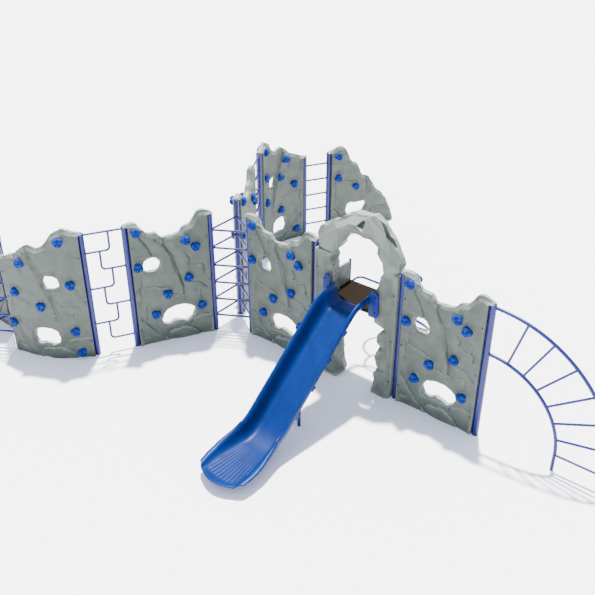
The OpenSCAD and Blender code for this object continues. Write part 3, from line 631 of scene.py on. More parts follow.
@dataclass
class RockPanel:
    """One moulded rock panel with its relief, standing in its own plane from a post."""

    name: str
    shape: Shape
    origin: Point2
    heading: float
    seed: int
    voxel: float = 0.0125
    flange_half: float = 0.069
    flange_end: float = 0.060
    slope_end: float = 0.125
    seat_r: float = 0.066
    skin: float = 0.09
    kept: float = 0.22

    @property
    def base(self) -> Matrix:
        """The panel's local frame."""
        return place(*self.origin, self.heading)

    def windows(self) -> list[list[tuple[float, float]]]:
        """Lists the windows, drawn in a little by the rounded skin around them."""
        found = []
        for window in WINDOWS[self.shape]:
            cx = sum(x for x, _ in window) / len(window)
            cz = sum(z for _, z in window) / len(window)
            found.append([(cx + (x - cx) * (1 - self.skin), cz + (z - cz) * (1 - self.skin))
                          for x, z in window])
        return found

    def hold_spots(self) -> list[tuple[float, float, int]]:
        """Lists the holds as place, height and side: -1 is the front, 1 the rear, 0 both."""
        if self.shape is Shape.CURVED:
            spots = [(PITCH * math.sin(math.radians(30 - a)), z * MM, 1) for a, z in OUTER_HOLDS]
            return spots + [
                (PITCH * math.sin(math.radians(30 - a)), z * MM, -1) for a, z in INNER_HOLDS]
        holds = WAVE_HOLDS if self.shape is Shape.WAVE else CLIFF_HOLDS
        return [(x * MM, z * MM, 0) for x, z in holds]

    def blank(self) -> bpy.types.Mesh:
        """Makes the plain slab from the outline and windows, with an even fine mesh.

        Returns:
            The remeshed slab in the panel's flat frame: along x, thick in y.
        """
        bm = bmesh.new()
        edges = []
        for loop in [OUTLINES[self.shape], *self.windows()]:
            verts = [bm.verts.new((x * MM, -PANEL_HALF, z * MM)) for x, z in loop]
            edges += [bm.edges.new(pair) for pair in zip(verts, verts[1:] + verts[:1])]
        bmesh.ops.triangle_fill(bm, use_beauty=True, edges=edges)
        grown = bmesh.ops.extrude_face_region(bm, geom=bm.faces[:])
        moved = [v for v in grown["geom"] if isinstance(v, bmesh.types.BMVert)]
        bmesh.ops.translate(bm, vec=(0, 2 * PANEL_HALF, 0), verts=moved)
        bmesh.ops.recalc_face_normals(bm, faces=bm.faces)
        return even_mesh(bm, self.voxel)

    def relief(self, p: np.ndarray) -> np.ndarray:
        """Works out how thick the panel is at each point, as a share of its full half thickness.

        Args:
            p: N by 3 positions in the flat frame.

        Returns:
            The share for each point.
        """
        s, d, z = p[:, 0], p[:, 1], p[:, 2]
        side = np.where(d > 0, 1, -1)
        top = POST_H if self.shape is not Shape.CLIFF else LOW_POST_H
        sky = np.full(len(s), 1.0)
        outline = [(x * MM, y * MM) for x, y in OUTLINES[self.shape]]
        edge = line_distance(s, z, outline[2:-2])
        uneven = facet_noise(p, 0.11, self.seed + 5)
        sky = ramp(edge, 0.0, 0.050 + 0.035 * uneven)
        half = PANEL_HALF - (1 - sky) * (0.020 + 0.024 * uneven)
        open_wall = np.ones(len(s))
        for window in self.windows():
            rim = line_distance(s, z, [(x * MM, y * MM) for x, y in window + window[:1]])
            half -= (1 - ramp(rim, 0.0, 0.020)) * 0.006
            open_wall = np.minimum(open_wall, 0.25 + 0.75 * ramp(rim, 0.02, 0.10))
        plane = p.copy()
        plane[:, 1] = side * 0.5
        dents = 0.024 * facet_noise(plane, 0.40, self.seed) + 0.016 * facet_noise(
            plane, 0.17, self.seed + 9) - 0.008
        half -= np.maximum(0, dents) * open_wall
        half -= (1 - ramp(z, 0.0, 0.34)) * (0.010 + 0.014 * facet_noise(plane, 0.26, self.seed + 3))
        shift = HALF * MM if self.shape is Shape.CURVED else 0.0
        for depth, line in WAVE_CRACKS:
            away = signed_distance(s + shift, z, [(x * MM, y * MM) for x, y in line])
            half -= 2.3 * depth * MM * np.exp(-((away / 0.014) ** 2))
            half -= 1.2 * depth * MM * (1 - ramp(away, 0.03, 0.15)) * (away > 0)
        ends = [s - (-HALF * MM if self.shape is Shape.CURVED else 0.0)]
        if self.shape is Shape.WAVE:
            ends.append(W * MM - s)
        if self.shape is Shape.CURVED:
            ends.append(HALF * MM - s)
        for i, inner in enumerate(ends):
            post_top = LOW_POST_H if self.shape is Shape.CLIFF or (
                self.shape is Shape.CURVED and i == 0) else top
            thin = (
                1 - ramp(inner, self.flange_end, self.slope_end)
            ) * (1 - ramp(z, post_top - 0.02, post_top + 0.03))
            half = half * (1 - thin) + self.flange_half * thin
        for x, height, face in self.hold_spots():
            near = 1 - ramp(np.hypot(s - x, z - height), self.seat_r, self.seat_r + 0.035)
            near = near if face == 0 else near * (side == face)
            half = half * (1 - near) + (PANEL_HALF - 0.0002) * near
        levels = LOW_BOLTS if self.shape is Shape.CLIFF else HIGH_BOLTS
        for i, inner in enumerate(ends):
            rows = LOW_BOLTS if i == 0 and self.shape is Shape.CURVED else levels
            for level in rows:
                near = 1 - ramp(np.hypot(inner - LUG_REACH, z - level), 0.024, 0.05)
                half = half * (1 - near) + self.flange_half * near
        return np.clip(half, 0.02, PANEL_HALF + 0.004) / PANEL_HALF

    def build(self, finish: bpy.types.Material) -> None:
        """Builds the panel and lets it stand for its solid.

        Args:
            finish: The rock finish.
        """
        mesh = self.blank()
        p = mesh_points(mesh)
        normals = mesh_normals(mesh)
        share = self.relief(p)
        inside = np.abs(normals[:, 1]) < 0.75
        posts = self.post_clearance(p)
        lump = (
            facet_noise(p, 0.13, self.seed + 20) - 0.45
        ) * 0.030 * inside * posts * ramp(p[:, 2], 0.0, 0.05)
        p[:, 0] += normals[:, 0] * lump
        p[:, 2] += normals[:, 2] * lump
        p[:, 1] *= share
        if self.shape is Shape.CURVED:
            angle = np.arcsin(np.clip(p[:, 0] / PITCH, -1, 1))
            r = PITCH + p[:, 1]
            p = np.column_stack([r * np.cos(angle), r * np.sin(angle), p[:, 2]])
        set_points(mesh, p, self.base)
        relax(mesh, 1, 0.3)
        mesh = through(mesh, "DECIMATE", ratio=self.kept)
        piece = link_mesh(f"{self.name}_rock", mesh, finish)
        mesh.set_sharp_from_angle(angle=math.radians(24))
        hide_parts(self.name)

    def post_clearance(self, p: np.ndarray) -> np.ndarray:
        """Fades sideways lumps out next to the posts."""
        s = p[:, 0] + (HALF * MM if self.shape is Shape.CURVED else 0.0)
        free = ramp(s, 0.06, 0.14)
        if self.shape is not Shape.CLIFF:
            free = free * ramp(W * MM - s, 0.06, 0.14)
        low = LOW_POST_H if self.shape is not Shape.WAVE else POST_H
        over = ramp(
            p[:, 2], (low if self.shape is not Shape.CURVED else POST_H) + 0.02, POST_H + 0.06)
        return np.maximum(free, over * 0.6)


def even_mesh(bm: bmesh.types.BMesh, voxel: float) -> bpy.types.Mesh:
    """Gives a closed shape an even mesh of small squares.

    Args:
        bm: The shape, freed here.
        voxel: The size of the squares.

    Returns:
        The new mesh.
    """
    mesh = bpy.data.meshes.new("blank")
    bm.to_mesh(mesh)
    bm.free()
    return through(mesh, "REMESH", mode="VOXEL", voxel_size=voxel)


def through(mesh: bpy.types.Mesh, kind: str, **settings: float | str) -> bpy.types.Mesh:
    """Puts a mesh through one modifier and keeps the result.

    Args:
        mesh: The mesh, removed here.
        kind: The modifier's type.
        **settings: The modifier's settings.

    Returns:
        The new mesh.
    """
    holder = bpy.data.objects.new("blank", mesh)
    bpy.context.scene.collection.objects.link(holder)
    modifier = holder.modifiers.new("step", kind)
    for name, value in settings.items():
        setattr(modifier, name, value)
    graph = bpy.context.evaluated_depsgraph_get()
    result = bpy.data.meshes.new_from_object(holder.evaluated_get(graph))
    bpy.data.objects.remove(holder)
    bpy.data.meshes.remove(mesh)
    return result


def mesh_points(mesh: bpy.types.Mesh) -> np.ndarray:
    """Reads a mesh's vertices as an array."""
    flat = np.empty(3 * len(mesh.vertices))
    mesh.vertices.foreach_get("co", flat)
    return flat.reshape(-1, 3)


def mesh_normals(mesh: bpy.types.Mesh) -> np.ndarray:
    """Reads a mesh's vertex normals as an array."""
    flat = np.empty(3 * len(mesh.vertices))
    mesh.vertices.foreach_get("normal", flat)
    return flat.reshape(-1, 3)


def set_points(mesh: bpy.types.Mesh, points: np.ndarray, base: Matrix) -> None:
    """Writes new vertex places to a mesh, then stands it in its local frame."""
    mesh.vertices.foreach_set("co", points.ravel())
    mesh.transform(base)
    mesh.update()


def relax(mesh: bpy.types.Mesh, times: int, factor: float) -> None:
    """Smooths a mesh a little, as a mould rounds its edges."""
    bm = bmesh.new()
    bm.from_mesh(mesh)
    for _ in range(times):
        bmesh.ops.smooth_vert(
            bm, verts=bm.verts, factor=factor, use_axis_x=True, use_axis_y=True, use_axis_z=True)
    bm.to_mesh(mesh)
    bm.free()


def rock_panels() -> list[RockPanel]:
    """Lists the eight rock panels of the wall."""
    return [
        RockPanel("panel_a", Shape.CURVED, A_CENTRE, 300, 3),
        RockPanel("panel_b", Shape.WAVE, B_LEFT, 60, 7),
        RockPanel("panel_c", Shape.WAVE, C_LEFT, 0, 7),
        RockPanel("panel_d", Shape.WAVE, D_NEAR, 120, 7),
        RockPanel("panel_e", Shape.CURVED, E_CENTRE, 180, 3),
        RockPanel("panel_f", Shape.CLIFF, F_POST, 60, 12),
        RockPanel("panel_g", Shape.WAVE, ARCH_RIGHT, 0, 7),
        RockPanel("panel_h", Shape.CLIFF, H_POST, 180, 12),
    ]


# Arch


@dataclass
class ArchBlock:
    """One faceted block of the arch: a pier or the crown."""

    name: str
    outline: list[tuple[float, float]]
    seed: int
    post_x: float | None = None
    depth: float = 0.045
    cell: float = 0.24
    voxel: float = 0.016
    kept: float = 0.045
    outer_slope: float = 0.0
    pockets: tuple[tuple[float, list[tuple[float, float]]], ...] = ()
    trough: tuple[float, float] | None = None
    seams: tuple[float, ...] = ()

    def thickness(self, p: np.ndarray, edge: np.ndarray) -> np.ndarray:
        """Works out the half thickness at each point.

        Args:
            p: N by 3 positions.
            edge: Each point's distance from the outline.

        Returns:
            The half thickness of each point.
        """
        x, z = p[:, 0], p[:, 2]
        ground = ramp(z, 0.0, 0.06)
        half = ARCH_HALF - self.depth * facet_noise(p, self.cell, self.seed, 0.5)
        rear = np.where(p[:, 1] > 0, 0.25, 1.0)
        half -= (1 - ramp(edge, 0.0, 0.09)) * (
            0.01 + 0.05 * facet_noise(p, 0.2, self.seed + 4)) * ground * rear
        for level in self.seams:
            wave = z + 0.02 * np.sin(x * 23) - level
            half -= 0.055 * np.exp(-((wave / 0.028) ** 2)) * ramp(
                np.abs(x - self.post_x), 0.12, 0.22)
        if self.outer_slope:
            away = np.hypot(x - ARCH / 2, (z - POST_H) * 1.15)
            half -= self.outer_slope * ramp(away, 0.52, 0.76) * rear
        for deep, shape in self.pockets:
            ring = [(a * MM, b * MM) for a, b in shape]
            depth_in = np.clip(line_distance(x, z, ring + ring[:1]) / 0.022, 0, 1)
            half = half - deep * depth_in * inside_loop(x, z, ring)
        if self.post_x is not None:
            inner = np.abs(x - self.post_x)
            thin = 1 - ramp(inner, 0.055, 0.12)
            half = half * (1 - thin) + 0.100 * thin
            for level in HIGH_BOLTS:
                near = 1 - ramp(np.hypot(inner - LUG_REACH, z - level), 0.024, 0.05)
                half = half * (1 - near) + 0.100 * near
        return half

    def build(self, finish: bpy.types.Material) -> None:
        """Builds the block and lets it stand for its solid.

        Args:
            finish: The rock finish.
        """
        bm = bmesh.new()
        verts = [bm.verts.new((x * MM, -ARCH_HALF, z * MM)) for x, z in self.outline]
        face = bm.faces.new(verts)
        grown = bmesh.ops.extrude_face_region(bm, geom=[face])
        moved = [v for v in grown["geom"] if isinstance(v, bmesh.types.BMVert)]
        bmesh.ops.translate(bm, vec=(0, 2 * ARCH_HALF, 0), verts=moved)
        bmesh.ops.recalc_face_normals(bm, faces=bm.faces)
        mesh = even_mesh(bm, self.voxel)
        p = mesh_points(mesh)
        normals = mesh_normals(mesh)
        x, z = p[:, 0], p[:, 2]
        loop = [(a * MM, b * MM) for a, b in self.outline]
        edge = line_distance(x, z, loop + loop[:1])
        half = self.thickness(p, edge)
        joint = ramp(np.abs(z - (POST_H - 0.06)), 0.0, 0.05)
        free = np.ones(len(x)) if self.post_x is None else ramp(np.abs(x - self.post_x), 0.10, 0.15)
        across = np.abs(normals[:, 1]) < 0.6
        lump = (
            facet_noise(p, self.cell * 0.6, self.seed + 1, 0.5) - 0.36
        ) * 0.085 * free * joint * ramp(z, 0.0, 0.06) * across
        for level in self.seams:
            lump -= 0.045 * np.exp(-(((z - level) / 0.035) ** 2)) * free * across
        if self.trough:
            along = ramp(x, self.trough[0], self.trough[0] + 0.06) * (
                1 - ramp(x, self.trough[1], self.trough[1] + 0.05))
            lump -= 0.055 * along * (
                1 - ramp(np.abs(p[:, 1] + 0.02), 0.03, 0.06)) * (normals[:, 2] > 0.1)
        p[:, 0] += normals[:, 0] * lump
        p[:, 2] += normals[:, 2] * lump
        p[:, 1] *= np.clip(half, 0.03, ARCH_HALF) / ARCH_HALF
        set_points(mesh, p, Matrix.Identity(4))
        mesh = through(mesh, "DECIMATE", ratio=self.kept)
        piece = link_mesh(f"{self.name}_rock", mesh, finish)
        mesh.set_sharp_from_angle(angle=math.radians(9))
        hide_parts(self.name)


def inside_loop(x: np.ndarray, y: np.ndarray, loop: Sequence[Point2]) -> np.ndarray:
    """Tells which points lie inside a closed line in a plane."""
    inside = np.zeros(len(x), bool)
    for (ax, ay), (bx, by) in zip(loop, [*loop[1:], loop[0]]):
        if ay == by:
            continue
        crosses = (ay > y) != (by > y)
        inside ^= crosses & (x < ax + (bx - ax) * (y - ay) / (by - ay))
    return inside


PIER_TOP = H - 60
A = 1466


def arch_blocks() -> list[ArchBlock]:
    """Lists the three blocks of the arch."""
    left = [
        (44.8, 0), (495, 0), (505, 110), (470, 250), (475, 400), (430, 560), (390, 750),
        (345, 1000), (322, 1300),
        (322, 1500), (304, 1900), (318, PIER_TOP), (44.8, PIER_TOP)]
    right = [
        (A - 44.8, 0), (A - 44.8, PIER_TOP), (A - 276, PIER_TOP), (A - 267, 1990), (A - 336, 1820),
        (A - 368, 1760),
        (A - 378, 1600), (A - 366, 1430), (A - 380, 1310), (A - 340, 1235), (A - 230, 1120),
        (A - 336, 900),
        (A - 260, 790), (A - 316, 720), (A - 326, 560), (A - 285, 430), (A - 326, 330),
        (A - 326, 170), (A - 366, 60),
        (A - 350, 0)]
    base = PIER_TOP + 0.3
    crown = [
        (62, base), (62, H + 120), (52, H + 160), (138, H + 275), (343, H + 425), (500, H + 510),
        (640, H + 598),
        (705, H + 590), (A - 495, H + 678), (A - 456, H + 659), (A - 288, H + 441),
        (A - 167, H + 300),
        (A - 80, H + 140), (A - 80, base), (A - 276, base), (A - 296, H + 55), (A - 384, H + 205),
        (A - 372, H + 269),
        (A - 405, H + 303), (A - 505, H + 375), (767, H + 372), (619, H + 363), (520, H + 310),
        (440, H + 190),
        (424, H + 78), (318, base)]
    return [
        ArchBlock("arch_left_pier", left, 31, 0.0),
        ArchBlock("arch_right_pier", right, 37, ARCH, seams=(0.43, 0.79, 1.12)),
        ArchBlock(
            "arch_crown", crown, 41, kept=0.022, depth=0.03, cell=0.3, outer_slope=0.070,
            trough=(1.02, 1.27),
            pockets=((0.07, [(725, 2590), (800, 2690), (860, 2690), (850, 2550)]),)),
    ]


@dataclass
class Barrier:
    """A low rock wall beside the deck."""

    name: str
    x: float
    y0: float = 0.1000
    y1: float = 0.3880
    z0: float = 1.3803
    top: float = 0.350
    thick: float = 0.038

    def build(self, finish: bpy.types.Material) -> None:
        """Builds the barrier and lets it stand for its solid."""
        bm = bmesh.new()
        outline = [
            (0, 0), (0, self.top - 0.01), (0.06, self.top), (self.y1 - self.y0, self.top - 0.015),
            (self.y1 - self.y0, 0)]
        face = bm.faces.new([bm.verts.new((self.x, self.y0 + y, self.z0 + z)) for y, z in outline])
        grown = bmesh.ops.extrude_face_region(bm, geom=[face])
        moved = [v for v in grown["geom"] if isinstance(v, bmesh.types.BMVert)]
        bmesh.ops.translate(bm, vec=(self.thick, 0, 0), verts=moved)
        bmesh.ops.recalc_face_normals(bm, faces=bm.faces)
        mesh = even_mesh(bm, 0.007)
        p = mesh_points(mesh)
        centre = self.x + self.thick / 2
        share = 1 - 0.28 * facet_noise(p, 0.09, 5)
        p[:, 0] = centre + (p[:, 0] - centre) * share
        set_points(mesh, p, Matrix.Identity(4))
        relax(mesh, 1, 0.4)
        piece = link_mesh(f"{self.name}_rock", mesh, finish)
        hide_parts(self.name)


# Hand holds


@dataclass
class HoldSet:
    """The hand holds of one panel: rounded triangles with a bolt recess and two finger pockets."""

    panel: RockPanel
    letter: str
    radius: float = 0.072
    height: float = 0.058
    rings: tuple[tuple[float, float], ...] = (
        (1.0, 0.0), (1.04, 0.2), (1.02, 0.5), (0.93, 0.76), (0.78, 0.93), (0.62, 1.0), (0.48, 1.0),
        (0.34, 0.97), (0.25, 0.95))
    sides: int = 30
    recess_r: float = 0.013
    recess: float = 0.012

    def seats(self) -> list[Matrix]:
        """Lists the matrix of each hold's base, its face towards local +z."""
        found = []
        base = self.panel.base
        out = PANEL_HALF + FIT
        if self.panel.shape is Shape.CURVED:
            for angle, z in OUTER_HOLDS:
                turn = Matrix.Rotation(math.radians(30 - angle), 4, "Z")
                found.append(base @ turn @ Matrix.Translation((PITCH + out, 0, z * MM))
                             @ Matrix.Rotation(math.pi / 2, 4, "Y"))
            sag = 0.062**2 / (2 * (PITCH - PANEL_HALF))
            for angle, z in INNER_HOLDS:
                turn = Matrix.Rotation(math.radians(30 - angle), 4, "Z")
                found.append(base @ turn @ Matrix.Translation((PITCH - out - sag, 0, z * MM))
                             @ Matrix.Rotation(-math.pi / 2, 4, "Y"))
            return found
        holds = WAVE_HOLDS if self.panel.shape is Shape.WAVE else CLIFF_HOLDS
        for x, z in holds:
            for side in (-1, 1):
                found.append(base @ Matrix.Translation((x * MM, -side * out, z * MM))
                             @ Matrix.Rotation(side * math.pi / 2, 4, "X"))
        return found

    def one(
        self, bm: bmesh.types.BMesh, seat: Matrix, roll: float, rng: np.random.Generator) -> None:
        """Adds one hold on its seat.

        Args:
            bm: The mesh that takes it.
            seat: The seat's matrix.
            roll: How far the triangle is turned, in radians.
            rng: Gives the small differences from hold to hold.
        """
        disc = bmesh.ops.create_circle(bm, segments=self.sides, radius=1.0, cap_ends=False)["verts"]
        ring = list({e for v in disc for e in v.link_edges})
        made = list(disc)
        levels = [(disc, *self.rings[0])]
        for r, h in [
            *self.rings[1:], (self.recess_r / self.radius, 0.90),
            (self.recess_r / self.radius, 0.90 - self.recess / self.height)]:
            grown = bmesh.ops.extrude_edge_only(bm, edges=ring)["geom"]
            verts = [v for v in grown if isinstance(v, bmesh.types.BMVert)]
            ring = [e for e in grown
                if isinstance(e, bmesh.types.BMEdge) and all(v in verts for v in e.verts)]
            levels.append((verts, r, h))
            made += verts
        lean = rng.uniform(0.07, 0.12)
        pockets = [(roll + a, 0.56, 0.30) for a in (math.pi, math.pi / 3, -math.pi / 3)]
        for verts, r, h in levels:
            for v in verts:
                a = math.atan2(v.co.y, v.co.x)
                shape = 1 + 0.13 * math.cos(3 * (a - roll)) * min(1.0, max(0.0, (r - 0.25) / 0.3))
                rr = self.radius * r * min(shape, 1.07)
                rise = h + lean * math.cos(a - roll) * r * h if r > 0.25 else h
                x, y = rr * math.cos(a), rr * math.sin(a)
                for pa, pr, size in pockets:
                    away = math.hypot(
                        x / self.radius - pr * math.cos(pa), y / self.radius - pr * math.sin(pa))
                    if h > 0.3 and away < size:
                        rise -= 0.5 * (1 - (away / size) ** 2)
                v.co = Vector((x, y, max(0.0, min(rise, 1.06)) * self.height))
        bmesh.ops.holes_fill(bm, edges=ring, sides=0)
        first = list({e for v in disc for e in v.link_edges if all(w in disc for w in e.verts)})
        bmesh.ops.holes_fill(bm, edges=first, sides=0)
        bmesh.ops.transform(bm, matrix=seat, verts=made)

    def build(self, finish: bpy.types.Material) -> None:
        """Builds all holds of the panel as one piece."""
        rng = np.random.default_rng(ord(self.letter))
        bm = bmesh.new()
        for seat in self.seats():
            self.one(bm, seat, rng.uniform(0, 2 * math.pi), rng)
        bmesh.ops.recalc_face_normals(bm, faces=bm.faces)
        piece = finish_object(f"holds_{self.letter}_moulded", bm, finish)
        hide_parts(f"holds_{self.letter}")


# Steel work


@dataclass
class PostCaps:
    """Low domed caps on the posts."""

    height: float = 0.012
    lip: float = 0.0015

    def build(self, finish: bpy.types.Material) -> None:
        """Builds the caps of all posts as one piece."""
        bm = bmesh.new()
        for spots, top in ((TALL_POSTS, POST_H), (SHORT_POSTS, LOW_POST_H)):
            for x, y in spots:
                at = Matrix.Translation((x, y, top - self.height / 2 + 0.004))
                bmesh.ops.create_cone(
                    bm, cap_ends=True, segments=48, radius1=POST_R + self.lip,
                    radius2=POST_R + self.lip, depth=self.height, matrix=at)
        rims = [e for e in bm.edges
                if all(v.co.z - 0.003 > (POST_H if v.co.z > 2 else LOW_POST_H) for v in e.verts)]
        bmesh.ops.bevel(
            bm, geom=rims, offset=0.006, segments=3, profile=0.5, affect="EDGES", material=-1)
        piece = finish_object("post_caps_domed", bm, finish)
        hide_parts("post_caps")


@dataclass
class FlangeBolts:
    """Button-head bolts and nuts on both faces of the thin panel flanges."""

    head_r: float = 0.012
    head_h: float = 0.007
    washer_r: float = 0.016
    washer_h: float = 0.002

    def spots(self) -> list[tuple[Matrix, float]]:
        """Lists each bolt's frame at the flange's middle plane and the half thickness there."""
        panel, arch = 0.0688, 0.0998
        runs = [
            (B_LEFT, 60, HIGH_BOLTS, panel), (
                B_RIGHT, 240, HIGH_BOLTS, panel), (C_LEFT, 0, HIGH_BOLTS, panel),
            (
                ARCH_LEFT, 180, HIGH_BOLTS, panel
            ), (ARCH_LEFT, 0, HIGH_BOLTS, arch), (ARCH_RIGHT, 180, HIGH_BOLTS, arch),
            (
                ARCH_RIGHT, 0, HIGH_BOLTS, panel
            ), (G_RIGHT, 180, HIGH_BOLTS, panel), (D_NEAR, 120, HIGH_BOLTS, panel),
            (D_FAR, 300, HIGH_BOLTS, panel), (
                A_HIGH, 240, HIGH_BOLTS, panel), (A_LOW, 0, LOW_BOLTS, panel),
            (
                E_HIGH, 120, HIGH_BOLTS, panel
            ), (E_LOW, 240, LOW_BOLTS, panel), (F_POST, 60, LOW_BOLTS, panel),
            (H_POST, 180, LOW_BOLTS, panel)]
        return [
            (place(*p, heading) @ Matrix.Translation((LUG_REACH, 0, z)), half) for p, heading,
            levels, half in runs for z in levels]

    def build(self, finish: bpy.types.Material) -> None:
        """Builds all bolts as one piece."""
        bm = bmesh.new()
        for frame, half in self.spots():
            for side in (-1, 1):
                turn = frame @ Matrix.Rotation(side * math.pi / 2, 4, "X")
                low = turn @ Matrix.Translation((0, 0, half - 0.004 + self.washer_h / 2))
                bmesh.ops.create_cone(
                    bm, cap_ends=True, segments=16, radius1=self.washer_r, radius2=self.washer_r,
                    depth=self.washer_h + 0.006, matrix=low)
                high = turn @ Matrix.Translation((0, 0, half + self.washer_h + self.head_h / 2))
                bmesh.ops.create_cone(
                    bm, cap_ends=True, segments=12 if side > 0 else 6, radius1=self.head_r,
                    radius2=self.head_r * (0.62 if side > 0 else 1), depth=self.head_h, matrix=high)
        piece = finish_object("flange_bolts", bm, finish, smooth=False)
        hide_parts("panel_bolts")


@dataclass
class Welds:
    """Fillet welds where rungs meet posts."""

    rung_r: float = 0.017
    size: float = 0.006

    def ladders(self) -> list[tuple[Point2, Point2, list[float]]]:
        """Lists each pair of posts with the heights of the rungs between them."""
        corner = [0.280 + 0.308 * i for i in range(6)]
        runs = [(C_LEFT, B_RIGHT), (B_RIGHT, D_NEAR), (D_NEAR, C_LEFT)]
        left = [(A_LOW, H_POST), (H_POST, CORNER_POST), (CORNER_POST, A_LOW)]
        found = [(p, q, corner) for p, q in runs] + [(p, q, corner[:5]) for p, q in left]
        found.append((D_FAR, E_HIGH, [0.238 + 0.308 * i for i in range(7)]))
        found.append((E_LOW, F_POST, [0.220 + 0.308 * i for i in range(5)]))
        return found

    def build(self, finish: bpy.types.Material) -> None:
        """Builds all welds as one piece."""
        bm = bmesh.new()
        for p, q, levels in self.ladders():
            heading = math.degrees(math.atan2(q[1] - p[1], q[0] - p[0]))
            for origin, turn in ((p, heading), (q, heading + 180)):
                for z in levels:
                    at = place(*origin, turn) @ Matrix.Translation(
                        (POST_R + self.size / 2 - 0.003, 0, z)
                    ) @ Matrix.Rotation(math.pi / 2, 4, "Y")
                    bmesh.ops.create_cone(
                        bm, cap_ends=True, segments=16, radius1=self.rung_r + self.size,
                        radius2=self.rung_r + 0.0008, depth=self.size + 0.004, matrix=at)
        piece = finish_object("rung_welds", bm, finish)


# Slide


